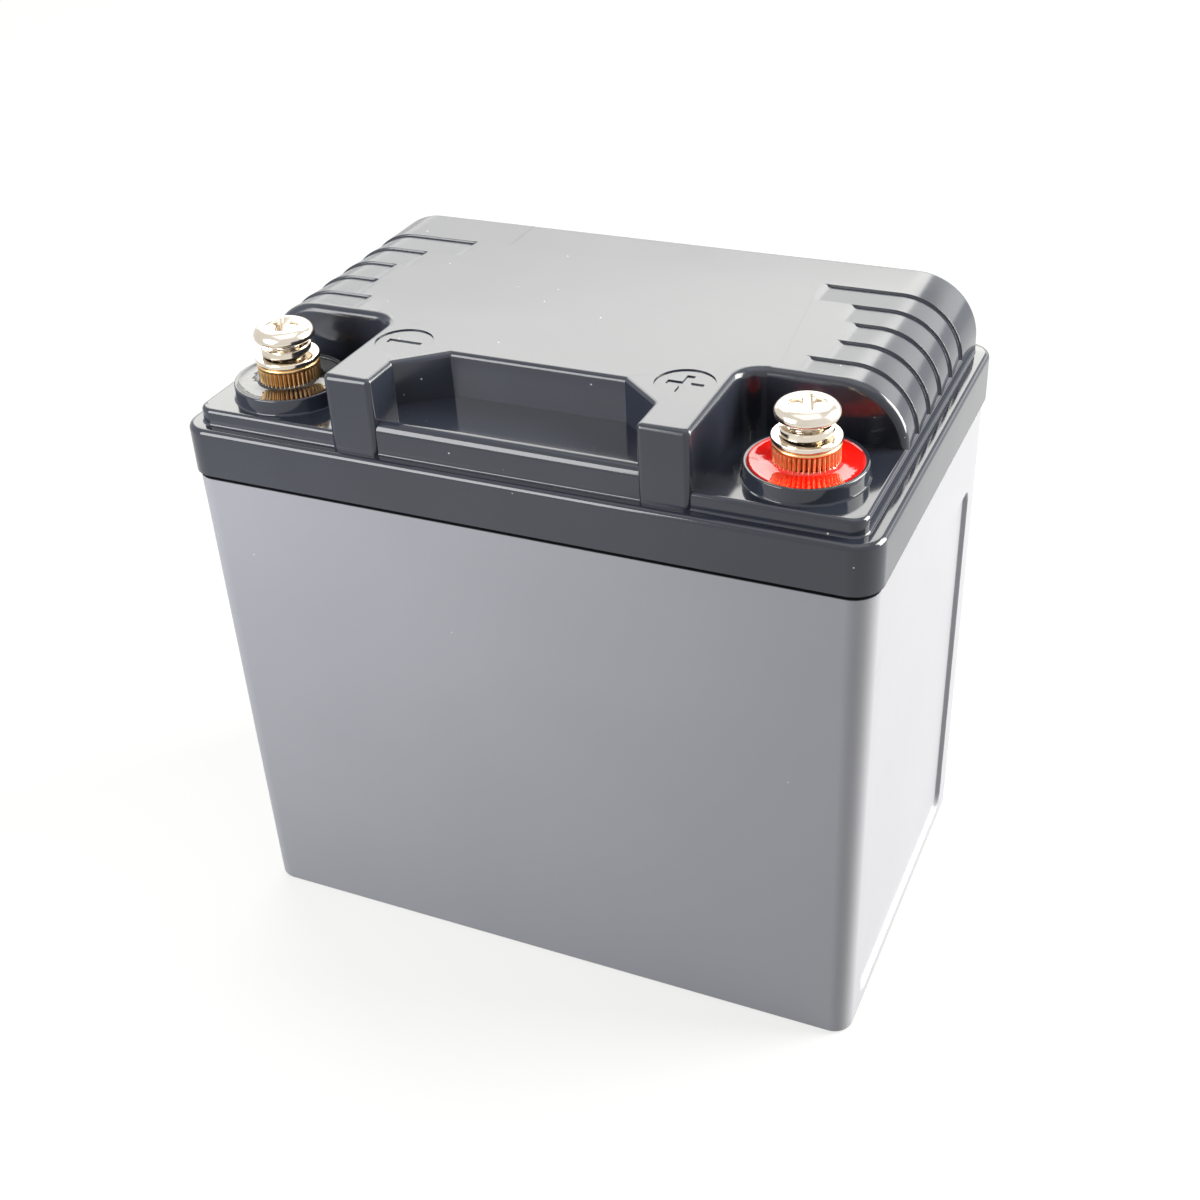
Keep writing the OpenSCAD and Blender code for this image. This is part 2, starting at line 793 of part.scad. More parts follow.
// A block with a seat for every cell: it starts at z, and the seats start at seat_z
module holder(z, seat_z, channel_z) {
    seat_d = sleeved_d + 2 * fit_gap;
    color("dimgray") difference() {
        translate([-holder_half_w, -holder_half_d, z])
            cube([2 * holder_half_w, 2 * holder_half_d, holder_h]);
        each_cell([0 : cell_columns - 1]) {
            translate([0, 0, seat_z]) cylinder(d = seat_d, h = holder_h, $fn = round_fn);
            translate([0, 0, z - 1]) cylinder(d = lip_d, h = holder_h + 2, $fn = round_fn);
        }
        strip_channels(channel_z);
    }
}

module lower_holder() {
    holder(holder_z, cell_z, holder_z - 1);
}

module upper_holder() {
    holder(holder_top - holder_h, cell_top - holder_h, cell_top);
}

// A welded strip: a bar along each column of cells, joined across by short bars
module strip(first, last, z) {
    color("silver") {
        for (i = [first : last])
            translate([column_x(i) - strip_w / 2, strip_front, z])
                cube([strip_w, row_y(cell_rows - 1) + strip_w / 2 - strip_front, strip_t]);
        if (last > first)
            for (j = [0 : cell_rows - 1])
                translate([column_x(first), row_y(j) - strip_w / 2, z])
                    cube([column_x(last) - column_x(first), strip_w, strip_t]);
    }
}

// The tab of a lower strip, which reaches past the holder for its sense lead
module strip_tab() {
    edge = column_x(cell_columns - 1);
    color("silver") translate([edge, row_y(cell_rows - 1) - strip_w / 2, strip_foot])
        cube([holder_half_w + tab_reach - edge, strip_w, strip_t]);
}

module strip_1_2() {
    strip(0, 1, strip_foot);
    mirror([1, 0, 0]) strip_tab();
}

module strip_3_4() {
    strip(2, 3, strip_foot);
    strip_tab();
}

// ---- Foam and insulation ----

module base_foam() {
    color("darkslategray") translate([-holder_half_w, -holder_half_d, case_floor])
        cube([2 * holder_half_w, 2 * holder_half_d, base_foam_t]);
}

// The end foams have a notch for the sense lead that comes up from the lower strip
module end_foams() {
    notch_w = tab_reach + notch_room;
    notch_d = strip_w + 2 * notch_room;
    color("darkslategray") both_ends() difference() {
        translate([holder_half_w + fit_gap, -holder_half_d, case_floor])
            cube([end_foam_t, 2 * holder_half_d, cell_top - case_floor]);
        translate([holder_half_w, row_y(cell_rows - 1) - notch_d / 2, case_floor - 1])
            cube([notch_w, notch_d, cell_top]);
    }
}

module side_foams() {
    color("darkslategray") for (turn = [0, 180]) rotate([0, 0, turn])
        translate([-holder_half_w, holder_half_d + fit_gap, case_floor])
            cube([2 * holder_half_w, side_foam_t, cell_top - case_floor]);
}

// A block between the sheet and the underside of the recess floor
module hold_down_foam() {
    foam_z = sheet_z + sheet_t;
    color("darkslategray") translate([-hold_down_w / 2, hold_down_front, foam_z])
        cube([hold_down_w, hold_down_back - hold_down_front,
            recess_z - lid_wall - fit_gap - foam_z]);
}

// The holes let the leads down to the strips
module insulation_sheet() {
    color("wheat") difference() {
        translate([-sheet_half_w, -holder_half_d, sheet_z])
            cube([2 * sheet_half_w, 2 * holder_half_d, sheet_t]);
        for (spot = concat([positive_spot, negative_spot], sense_spots))
            translate([spot[0], spot[1], sheet_z - 1])
                cylinder(d = lead_d + lead_room, h = sheet_t + 2, $fn = round_fn);
    }
}

// ---- Board ----

module board_tape() {
    color("white") translate([-board_w / 2 + tape_inset, board_front + tape_inset, tape_z])
        cube([board_w - 2 * tape_inset, board_d - 2 * tape_inset, tape_t]);
}

module board() {
    color("seagreen") translate([-board_w / 2, board_front, board_z])
        cube([board_w, board_d, board_t]);
}

module board_mosfets() {
    first_x = mosfet_inset - board_w / 2;
    color("black") for (i = [0 : mosfet_count - 1])
        translate([first_x + i * (mosfet_w + mosfet_gap), mosfet_y, board_top])
            cube([mosfet_w, mosfet_w, mosfet_h]);
}

// Two measuring chips and a small regulator
module board_chips() {
    color("black") translate([-board_w / 2, chip_y, board_top]) {
        for (i = [0, 1]) translate([chip_inset + i * chip_step, 0, 0]) cube(chip_size);
        translate([regulator_inset, 0, 0]) cube(regulator_size);
    }
}

// Flat resistors that measure the current
module board_shunts() {
    color("silver") for (i = [0, 1])
        translate([shunt_inset + i * shunt_step - board_w / 2, shunt_y, board_top])
            cube(shunt_size);
}

module balance_header() {
    color("ivory") translate([header_x - header_w / 2, header_y - header_len / 2, board_top])
        cube([header_w, header_len, header_h]);
}

module balance_plug() {
    plug_w = header_w - 2 * header_wall;
    plug_len = header_len - 2 * header_wall;
    color("white") translate([header_x - plug_w / 2, header_y - plug_len / 2,
        board_top + header_h])
        cube([plug_w, plug_len, plug_h]);
}

// ---- Leads ----

// Points of a Bezier curve of any degree
function bezier(p, t) = len(p) == 1 ? p[0]
    : bezier([for (i = [0 : len(p) - 2]) p[i] * (1 - t) + p[i + 1] * t], t);
function route(p) = [for (i = [0 : lead_steps]) bezier(p, i / lead_steps)];

// A ring of points square to the way the lead runs
function unit(v) = v / norm(v);
function lead_ring(centre, way, r) =
    let (u = unit(cross([1, 0.2, 0], way)), v = cross(way, u))
    [for (k = [0 : lead_fn - 1])
        centre + r * (u * cos(k * 360 / lead_fn) + v * sin(k * 360 / lead_fn))];

// A lead along a path, whose ends are cut square to its first and last way
module lead(path, d, first_way, last_way) {
    last = len(path) - 1;
    rings = [for (i = [0 : last])
        let (way = i == 0 ? first_way : i == last ? last_way : path[i + 1] - path[i - 1])
        each lead_ring(path[i], unit(way), d / 2)];
    polyhedron(rings, tube_faces(last + 1, lead_fn));
}

// A power lead rises from its foot, loops back and runs straight into a lug's barrel
module terminal_lead(start, side) {
    mouth = [side * terminal_x, barrel_end + mouth_gap, barrel_z];
    seat = mouth - [0, barrel_len - barrel_wall, 0];
    path = concat(route([start, start + [0, 0, power_rise], mouth + [0, loop_len, 0], mouth]),
        [seat]);
    lead(path, lead_d, [0, 0, 1], [0, -1, 0]);
}

// A lead that stands up from one place and comes down on another
module arched_lead(start, end, start_rise, end_rise, d) {
    lead(route([start, start + [0, 0, start_rise], end + [0, 0, end_rise], end]), d,
        [0, 0, 1], [0, 0, -1]);
}

module positive_lead() {
    color("red") terminal_lead([positive_spot[0], positive_spot[1], strip_top], 1);
}

module negative_lead() {
    color("black") terminal_lead([pad_x(1), pad_y, board_top], -1);
}

module board_lead() {
    color("black") arched_lead([negative_spot[0], negative_spot[1], strip_top],
        [pad_x(0), pad_y, board_top], power_rise, pad_rise, lead_d);
}

// A sense lead from a lower strip runs straight up in the foam's notch first
module long_sense_lead(side, pin) {
    foot = [side * (holder_half_w + tab_reach - 1), row_y(cell_rows - 1), cell_z];
    top = [foot[0], foot[1], board_z];
    path = concat([foot], route([top, top + [0, 0, pad_rise], pin + [0, 0, pad_rise], pin]));
    lead(path, sense_d, [0, 0, 1], [0, 0, -1]);
}

module balance_leads() {
    pins = [for (k = [0 : balance_pins - 1])
        [header_x, header_y + (k - (balance_pins - 1) / 2) * balance_pitch, plug_top]];
    color("orange") {
        for (k = [0 : 2])
            arched_lead([sense_spots[k][0], sense_spots[k][1], strip_top], pins[k],
                sense_rises[k], sense_rises[k] / 2, sense_d);
        long_sense_lead(-1, pins[3]);
        long_sense_lead(1, pins[4]);
    }
}

lower_case();
lid();
lid_sealant();
insert(1);  // positive_insert
insert(-1);  // negative_insert
color("red") resin(1);  // positive_resin
color("black") resin(-1);  // negative_resin
flat_washer(1);  // positive_flat_washer
flat_washer(-1);  // negative_flat_washer
spring_washer(1);  // positive_spring_washer
spring_washer(-1);  // negative_spring_washer
terminal_screw(1);  // positive_screw
terminal_screw(-1);  // negative_screw
lug(1);  // positive_lug
lug(-1);  // negative_lug
lug_screws();
cell_group(0);  // cells_1
cell_group(1);  // cells_2
cell_group(2);  // cells_3
cell_group(3);  // cells_4
cell_sleeves();
lower_holder();
upper_holder();
strip(0, 0, cell_top);  // strip_negative
strip_1_2();
strip(1, 2, cell_top);  // strip_2_3
strip_3_4();
strip(3, 3, cell_top);  // strip_positive
insulation_sheet();
base_foam();
end_foams();
side_foams();
hold_down_foam();
board_tape();
board();
board_mosfets();
board_chips();
board_shunts();
balance_header();
balance_plug();
balance_leads();
positive_lead();
negative_lead();
board_lead();
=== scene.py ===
import math

import bmesh
import bpy
import numpy as np
from mathutils import Matrix, Vector
from mathutils.geometry import delaunay_2d_cdt


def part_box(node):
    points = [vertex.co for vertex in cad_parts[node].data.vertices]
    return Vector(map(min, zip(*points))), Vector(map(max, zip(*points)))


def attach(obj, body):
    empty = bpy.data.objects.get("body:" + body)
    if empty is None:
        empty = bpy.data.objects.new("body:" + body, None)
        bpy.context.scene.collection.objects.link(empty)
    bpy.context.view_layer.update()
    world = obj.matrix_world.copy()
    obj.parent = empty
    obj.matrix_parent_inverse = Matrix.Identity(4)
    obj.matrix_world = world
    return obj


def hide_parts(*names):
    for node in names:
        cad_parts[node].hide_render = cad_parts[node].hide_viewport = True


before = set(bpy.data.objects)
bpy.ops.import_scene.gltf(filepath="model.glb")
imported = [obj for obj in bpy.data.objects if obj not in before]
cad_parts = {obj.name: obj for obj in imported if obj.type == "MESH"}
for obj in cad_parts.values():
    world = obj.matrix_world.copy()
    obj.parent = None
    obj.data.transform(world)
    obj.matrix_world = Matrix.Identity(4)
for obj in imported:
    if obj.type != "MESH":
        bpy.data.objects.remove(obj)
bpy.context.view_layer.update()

# ---- Camera -------------------------------------------------------------------------------
# A phone on a short stand looks down on the pack's front right corner. It is tilted by a few
# degrees, so the pack's uprights lean.

lens_mm, sensor_mm = 50.08, 36.0
azimuth, elevation, roll = np.radians((25.36, 32.93, -3.05))
distance = 0.28849
aim = Vector((-0.00123, 0.0, 0.05245))

backward = Vector(
    (
        math.sin(azimuth) * math.cos(elevation),
        -math.cos(azimuth) * math.cos(elevation),
        math.sin(elevation),
    )
)
level = Vector((0, 0, 1)).cross(backward).normalized()
upward = backward.cross(level)
camera_x = math.cos(roll) * level + math.sin(roll) * upward
camera_y = math.cos(roll) * upward - math.sin(roll) * level

camera = bpy.data.objects.new("camera", bpy.data.cameras.new("camera"))
camera.data.lens = lens_mm
camera.data.sensor_width = sensor_mm
camera.data.clip_start = 0.01
camera.matrix_world = Matrix.LocRotScale(
    aim + distance * backward,
    Matrix((camera_x, camera_y, backward)).transposed(),
    None,
)
bpy.context.scene.collection.objects.link(camera)
bpy.context.scene.camera = camera
bpy.context.scene.view_settings.view_transform = "Standard"

# ---- Studio -------------------------------------------------------------------------------
# A white sweep of paper under the pack, one softbox behind it that the glossy lid mirrors,
# a low one, one overhead, one on the right and a small one at the left front. The paper is
# evenly bright away from the pack, and the sky behind it is white only where it is seen.


def linear(code):
    """An sRGB hex code as linear red, green and blue, and an alpha of 1. A channel c becomes
    ((c + 0.055) / 1.055) ^ 2.4, or c / 12.92 where it is nearly black."""
    c = np.array([int(code[i : i + 2], 16) for i in (1, 3, 5)]) / 255
    return (*np.where(c > 0.04045, ((c + 0.055) / 1.055) ** 2.4, c / 12.92), 1.0)


def add(tree, kind, sockets, **settings):
    """Adds one node: sockets maps its inputs to a value or to another node's output."""
    node = tree.nodes.new("ShaderNode" + kind)
    for key, value in settings.items():
        setattr(node, key, value)
    for key, value in sockets.items():
        if isinstance(value, bpy.types.NodeSocket):
            tree.links.new(value, node.inputs[key])
        else:
            node.inputs[key].default_value = value
    return node


def new_material(name):
    """An empty material and its node tree."""
    material = bpy.data.materials.new(name)
    material.use_nodes = True
    material.node_tree.nodes.clear()
    return material, material.node_tree


def white_where_seen(tree):
    """1 for rays from the camera, from gloss or through glass, and 0 for the rest."""
    path = add(tree, "LightPath", {})
    seen = path.outputs["Is Camera Ray"]
    for ray in ("Is Glossy Ray", "Is Transmission Ray"):
        either = {0: seen, 1: path.outputs[ray]}
        seen = add(tree, "Math", either, operation="MAXIMUM").outputs[0]
    return seen


# Matt paper has no gloss of its own, so only soft shadows show on it.
paper, tree = new_material("matt_paper_sweep")
paper_diffuse = add(tree, "BsdfDiffuse", {"Color": linear("#D4D4D3")})
paper_glow = add(
    tree, "Emission", {"Color": linear("#FFFFFE"), "Strength": white_where_seen(tree)}
)
place = add(tree, "TexCoord", {}).outputs["Object"]
from_pack = add(tree, "VectorMath", {0: place}, operation="LENGTH")
shadow_reach, even_from, share_at_pack = 0.2, 0.9, 0.7
evenly_lit = add(
    tree,
    "MapRange",
    {
        "Value": from_pack.outputs["Value"],
        "From Min": shadow_reach,
        "From Max": even_from,
        "To Min": share_at_pack,
    },
)
paper_lift = add(
    tree,
    "MixShader",
    {"Fac": evenly_lit.outputs[0], 1: paper_diffuse.outputs[0], 2: paper_glow.outputs[0]},
)
add(tree, "OutputMaterial", {"Surface": paper_lift.outputs[0]})

sweep_half = 3.0
sweep_corners = ((-1, -1), (1, -1), (1, 1), (-1, 1))
floor_mesh = bpy.data.meshes.new("floor")
floor_mesh.from_pydata(
    [(x * sweep_half, y * sweep_half, 0) for x, y in sweep_corners], [], [(0, 1, 2, 3)]
)
floor_mesh.materials.append(paper)
floor = bpy.data.objects.new("floor", floor_mesh)
bpy.context.scene.collection.objects.link(floor)

world = bpy.data.worlds.new("studio")
world.use_nodes = True
world.node_tree.nodes.clear()
seen_white = white_where_seen(world.node_tree)
world_fill = 0.2
sky_strength = add(
    world.node_tree, "MapRange", {"Value": seen_white, "To Min": world_fill, "To Max": 1.0}
)
sky = add(
    world.node_tree,
    "Background",
    {"Color": linear("#FFFFFF"), "Strength": sky_strength.outputs[0]},
)
add(world.node_tree, "OutputWorld", {"Surface": sky.outputs[0]})
bpy.context.scene.world = world


def softbox(name, place, target, width, height, radiance, colour):
    """A flat lamp. Its power in watts is pi x area x radiance, with 1 as plain white."""
    lamp = bpy.data.lights.new(name, "AREA")
    lamp.shape = "RECTANGLE"
    lamp.size, lamp.size_y = width, height
    lamp.energy = math.pi * width * height * radiance
    lamp.color = linear(colour)[:3]
    holder = bpy.data.objects.new(name, lamp)
    direction = Vector(target) - Vector(place)
    holder.matrix_world = Matrix.LocRotScale(
        Vector(place), direction.to_track_quat("-Z", "Y"), None
    )
    holder.visible_camera = False
    bpy.context.scene.collection.objects.link(holder)


pack_middle, pack_lid = (0, 0, 0.06), (0, 0, 0.1)
softbox("softbox_behind", (-0.39, 0.77, 0.785), pack_lid, 1.1, 0.63, 4.7, "#FFFEF8")
softbox("softbox_low", (-0.185, 1.05, 0.372), pack_lid, 2.3, 0.34, 1.6, "#FFFEF8")
softbox("softbox_above", (0.1, -0.1, 1.1), pack_middle, 0.9, 0.9, 0.9, "#FFFFFF")
softbox("softbox_right", (0.84, 0.5, 0.4), pack_middle, 0.7, 0.9, 18.0, "#FFFDF5")
softbox("softbox_left", (-0.12, -0.2, 0.155), (-0.04, -0.03, 0.06), 0.15, 0.15, 9.2, "#FFFFFF")

# ---- Lower case ---------------------------------------------------------------------------
# A deep box moulded in one piece of grey ABS, with walls that lean in towards the foot, an
# upright band at the top, a shallow panel in each end wall and a tongue that goes up into
# the lid. The mould was spark eroded, which leaves a fine satin grain.

MM = 0.001
case_high = np.array(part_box("lower_case")[1]) / MM
lid_low, lid_high = (np.array(c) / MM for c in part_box("lid"))
pack_half = lid_high[:2]
top_z = lid_high[2]
seam_gap = 0.5
shoulder_z = lid_low[2] - seam_gap
tongue_top = case_high[2]
case_half = case_high[:2]
lid_corner_r = 4.5
case_corner_r = 4.0
case_wall = 2.2
case_draft = 0.8
case_floor = 2.0
tongue_inset = 1.2
foot_r = 0.9
band_z = shoulder_z - 7
band_step = 0.1
shoulder_edge = 0.15
panel_half, panel_low, panel_high = 26.0, 3.0, shoulder_z - 14
panel_r, panel_depth, panel_ramp = 2.5, 0.8, 0.6
ramp_reach, ramp_grid = 0.6, 0.12


def ring_walls(half, inset, radius, z, wall_y=(0.0,), arc_steps=9):
    """Rings of a box with round corners: each row is an arc at every corner, and a straight
    end wall between two arcs that has a point at each height of wall_y along Y."""
    inset, z = np.broadcast_arrays(np.asarray(inset, float), np.asarray(z, float))
    r = np.maximum(radius - inset, 0.25)[:, None]
    turn = np.linspace(0, np.pi / 2, arc_steps)[None, :]
    reach = half - inset[:, None]
    out = []
    for corner, (sx, sy) in enumerate(((1, 1), (-1, 1), (-1, -1), (1, -1))):
        angle = turn + corner * np.pi / 2
        x = sx * (reach[:, :1] - r) + r * np.cos(angle)
        y = sy * (reach[:, 1:] - r) + r * np.sin(angle)
        out.append(np.stack(np.broadcast_arrays(x, y, z[:, None]), -1))
        if corner in (1, 3):
            way = corner - 2
            wall = (way * reach[:, :1], np.sort(wall_y)[None, ::way], z[:, None])
            out.append(np.stack(np.broadcast_arrays(*wall), -1))
    return np.concatenate(out, 1)


def skin(rings, hoop=False):
    """Four-sided faces between one closed ring of points and the next, and for a hoop also
    between the last ring and the first."""
    rows, columns = rings.shape[:2]
    i, j = np.meshgrid(np.arange(rows if hoop else rows - 1), np.arange(columns), indexing="ij")
    here, ahead, j_next = i * columns, (i + 1) % rows * columns, (j + 1) % columns
    quads = np.stack((here + j, here + j_next, ahead + j_next, ahead + j), -1)
    return rings.reshape(-1, 3), quads.reshape(-1, 4).tolist()


def lids(rings):
    """One face over the first ring, turned downwards, and one over the last."""
    rows, columns = rings.shape[:2]
    below = np.arange(columns)[::-1].tolist()
    above = (np.arange(columns) + (rows - 1) * columns).tolist()
    return [below, above]


def quarter(steps=6):
    """Cosines and sines of a quarter turn, for rounded edges."""
    t = np.linspace(0, np.pi / 2, steps)
    return np.cos(t), np.sin(t)


weak_face, strong_face = 0, 16384
weld = 1e-7


class Shape:
    """Gathers the surfaces of one piece, in millimetres, before they become its mesh."""

    def __init__(self):
        """Starts with nothing."""
        self.points, self.faces, self.strength = [], [], []

    def put(self, points, faces, flat=False):
        """Adds points and the faces between them. A flat surface's faces are strong."""
        first = sum(len(p) for p in self.points)
        self.points.append(np.asarray(points, float))
        self.faces += [[k + first for k in face] for face in faces]
        self.strength += [strong_face if flat else weak_face] * len(faces)

    def put_rings(self, rings, hoop=False):
        """Adds a skin over rings, closed by a face at each end or as a hoop."""
        points, quads = skin(rings, hoop)
        self.put(points, quads + ([] if hoop else lids(rings)))

    def make(self, name, material, body, nodes, crease=32):
        """Welds the surfaces into a mesh with smooth faces and creased edges, and gives it to
        the frame. A strong face alone sets the shading of its border, so that what it mirrors
        stays straight. crease is in degrees."""
        mesh = bpy.data.meshes.new(name)
        mesh.from_pydata((np.concatenate(self.points) * MM).tolist(), [], self.faces)
        mesh.polygons.foreach_set("use_smooth", np.ones(len(mesh.polygons), bool))
        weight = mesh.attributes.new("__mod_weightednormals_faceweight", "INT", "FACE")
        weight.data.foreach_set("value", self.strength)
        joined = bmesh.new()
        joined.from_mesh(mesh)
        bmesh.ops.remove_doubles(joined, verts=joined.verts, dist=weld)
        joined.to_mesh(mesh)
        joined.free()
        mesh.set_sharp_from_angle(angle=math.radians(crease))
        mesh.materials.append(material)
        piece = bpy.data.objects.new(name, mesh)
        bpy.context.scene.collection.objects.link(piece)
        weighted = piece.modifiers.new("even_shading", "WEIGHTED_NORMAL")
        weighted.keep_sharp = True
        weighted.use_face_influence = True
        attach(piece, body)
        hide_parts(*nodes)


def near(edges, reach, step):
    """Positions a step apart on both sides of each edge, as far as reach."""
    around = np.arange(-reach, reach + step / 2, step)
    return np.concatenate([edge + around for edge in edges])


def rounded_inside(y, z, half_y, low_z, high_z, r):
    """How far a point is inside a rectangle with round corners: the radius less the distance
    from a smaller rectangle, smaller by the radius all round. Negative is outside."""
    qy = np.abs(y) - (half_y - r)
    qz = np.abs(z - (low_z + high_z) / 2) - ((high_z - low_z) / 2 - r)
    outside = np.hypot(np.maximum(qy, 0), np.maximum(qz, 0))
    return r - outside - np.minimum(np.maximum(qy, qz), 0)


def lean(z):
    """How far the outer wall has come in at a height: nothing down to the band's foot, and
    from there a step and then a draft that grows evenly down to the floor."""
    return np.where(z >= band_z, 0.0, band_step + (case_draft - band_step) * (1 - z / band_z))


cos_q, sin_q = quarter()
corner_rows = np.linspace(panel_r, 0, 10)
wall_z = np.unique(
    np.round(
        np.concatenate(
            (
                near((panel_low, panel_high), ramp_reach, ramp_grid),
                panel_low + corner_rows,
                panel_high - corner_rows,
                np.linspace(panel_low + panel_r, panel_high - panel_r, 12),
                (band_z - shoulder_edge, band_z, shoulder_z - 2 * shoulder_edge),
            )
        ),
        3,
    )
)
wall_z = wall_z[(wall_z > foot_r + 0.3) & (wall_z < shoulder_z - 0.2)]
wall_y = np.concatenate(
    (
        near((-panel_half, panel_half), ramp_reach, ramp_grid),
        panel_half - corner_rows[:-3],
        corner_rows[:-3] - panel_half,
        np.linspace(-panel_half + panel_r, panel_half - panel_r, 9),
    )
)
outer_z = np.concatenate((foot_r * (1 - sin_q), wall_z, (shoulder_z - 0.06, shoulder_z)))
outer_inset = lean(outer_z)
outer_inset[: len(sin_q)] += foot_r * (1 - cos_q)
order = np.argsort(outer_z, kind="stable")
outer_z, outer_inset = outer_z[order], outer_inset[order]
outer_inset[-1] += shoulder_edge
outer = ring_walls(case_half, outer_inset, case_corner_r, outer_z, wall_y)
depth_in = rounded_inside(outer[..., 1], outer[..., 2], panel_half, panel_low, panel_high, panel_r)
sink = np.clip(depth_in / panel_ramp + 0.5, 0, 1)
sink = panel_depth * sink * sink * (3 - 2 * sink)
outer[..., 0] -= np.sign(outer[..., 0]) * sink
tongue_z = np.array((shoulder_z, tongue_top - 0.3, tongue_top, tongue_top, case_floor))
tongue_in = np.array(
    (tongue_inset, tongue_inset, tongue_inset + 0.3, case_wall, case_wall + case_draft)
)
inside = ring_walls(case_half, tongue_in, case_corner_r, tongue_z, wall_y)

case_shape = Shape()
case_shape.put_rings(np.concatenate((outer, inside)))


def speckle(tree, place, size, share):
    """White dust: 1 inside small random dots, in a share of the cells of a given size. A dot
    fades from its core to its rim, which are both in parts of a cell."""
    core, rim = 0.03, 0.08
    cells = add(tree, "TexVoronoi", {"Vector": place, "Scale": 1 / size, "Randomness": 1.0})
    dot = add(
        tree,
        "MapRange",
        {"Value": cells.outputs["Distance"], "From Min": rim, "From Max": core},
    )
    draw = add(tree, "SeparateXYZ", {0: cells.outputs["Color"]}).outputs[0]
    chosen = add(tree, "Math", {0: draw, 1: 1 - share}, operation="GREATER_THAN")
    return add(
        tree, "Math", {0: dot.outputs[0], 1: chosen.outputs[0]}, operation="MULTIPLY"
    ).outputs[0]


def two_tone(tree, place, patch, detail, colour, second_colour, distortion=0.0):
    """A colour that drifts between two tones with a noise whose patches have a given size in
    metres. Returns the noise and the colour."""
    kind = {"Scale": 1 / patch, "Detail": detail, "Distortion": distortion}
    noise = add(tree, "TexNoise", {"Vector": place, **kind}).outputs[0]
    tones = {0: noise, 6: linear(colour), 7: linear(second_colour)}
    return noise, add(tree, "Mix", tones, data_type="RGBA").outputs[2]


def moulded_abs(
    name, colour, cloud_colour, gloss, satin_z, joint_shade_z, grain, grain_depth, wave_depth, dust
):
    """ABS as it leaves the mould: its grain is the mould's own surface, in metres, and its
    slow waves are where the wall sank as it cooled. Above satin_z, in metres, the mould was
    left less polished, and above joint_shade_z the colour is painted near-black, as painted shade
    in the joint's gap. Dust clings to it."""
    cloud_size, wave_size, dust_cell = 0.03, 0.014, 0.0022
    satin_rise, satin_extra, shade_rise, gloss_drift = 0.004, 0.1, 0.0001, 0.03
    material, tree = new_material(name)
    place = add(tree, "TexCoord", {}).outputs["Object"]
    cloud, tone = two_tone(tree, place, cloud_size, 3.0, colour, cloud_colour)
    height = add(tree, "SeparateXYZ", {0: place}).outputs[2]
    # Painted shade: above joint_shade_z the colour turns near-black, standing in for the shade in
    # the gap under the lid.
    in_joint_shade = add(
        tree,
        "MapRange",
        {"Value": height, "From Min": joint_shade_z, "From Max": joint_shade_z + shade_rise},
    )
    with_joint_shade = {0: in_joint_shade.outputs[0], 6: tone, 7: linear("#17181B")}
    joint = add(tree, "Mix", with_joint_shade, data_type="RGBA")
    specks = speckle(tree, place, dust_cell, dust)
    with_dust = {0: specks, 6: joint.outputs[2], 7: linear("#C6C7C6")}
    dusty = add(tree, "Mix", with_dust, data_type="RGBA")
    drift = {"To Min": gloss - gloss_drift, "To Max": gloss + gloss_drift}
    sheen = add(tree, "MapRange", {"Value": cloud, **drift})
    rise = {"From Min": satin_z, "From Max": satin_z + satin_rise, "To Max": satin_extra}
    satin = add(tree, "MapRange", {"Value": height, **rise})
    roughness = add(tree, "Math", {0: sheen.outputs[0], 1: satin.outputs[0]}, operation="ADD")
    waves = add(tree, "TexNoise", {"Vector": place, "Scale": 1 / wave_size, "Detail": 1.0})
    sunk = add(tree, "Bump", {"Height": waves.outputs[0], "Distance": wave_depth})
    pits = add(tree, "TexNoise", {"Vector": place, "Scale": 1 / grain, "Detail": 2.0})
    pitted = {"Height": pits.outputs[0], "Distance": grain_depth, "Normal": sunk.outputs[0]}
    rough = add(tree, "Bump", pitted)
    shader = add(
        tree,
        "BsdfPrincipled",
        {
            "Base Color": dusty.outputs[2],
            "Roughness": roughness.outputs[0],
            "IOR": 1.53,
            "Normal": rough.outputs[0],
        },
    )
    add(tree, "OutputMaterial", {"Surface": shader.outputs[0]})
    return material


# Spark eroded ABS: the grain is 0.25 mm across, and it breaks reflections into a soft haze.
# A satin_z or joint_shade_z above the part switches that zone off.
nowhere = 1.0
case_abs = moulded_abs(
    "abs_spark_eroded_grey",
    "#8D8E95",
    "#94959C",
    gloss=0.42,
    satin_z=nowhere,
    # Painted shade: from 0.2 mm under the shoulder upwards the case is near-black, for the shade
    # in the joint.
    joint_shade_z=(shoulder_z - 0.2) * MM,
    grain=0.00025,
    grain_depth=0.000006,
    wave_depth=0.00012,
    dust=0.03,
)
case_shape.make("lower_case_shell", case_abs, "pack", ["lower_case"])

# ---- Foam pads ----------------------------------------------------------------------------
# Closed-cell foam cut to size: one pad under the cells, pads at the ends and sides, and a
# block that the lid presses on the insulation sheet. Cutting leaves its edges a little soft.


def cut_foam(name, colour):
    """Foam whose cells, 0.6 mm across, are dimples in its cut faces. They leave it quite
    dull, and its grey drifts over patches of 4 mm."""
    bubble, dimple, patch = 0.0006, 0.0002, 0.004
    material, tree = new_material(name)
    place = add(tree, "TexCoord", {}).outputs["Object"]
    bubbles = add(tree, "TexVoronoi", {"Vector": place, "Scale": 1 / bubble})
    dimples = add(
        tree, "Bump", {"Height": bubbles.outputs["Distance"], "Distance": dimple}
    )
    tone = two_tone(tree, place, patch, 4.0, colour, "#3A3D40")[1]
    shader = add(
        tree,
        "BsdfPrincipled",
        {
            "Base Color": tone,
            "Roughness": 0.92,
            "Sheen Weight": 0.15,
            "Normal": dimples.outputs[0],
        },
    )
    add(tree, "OutputMaterial", {"Surface": shader.outputs[0]})
    return material


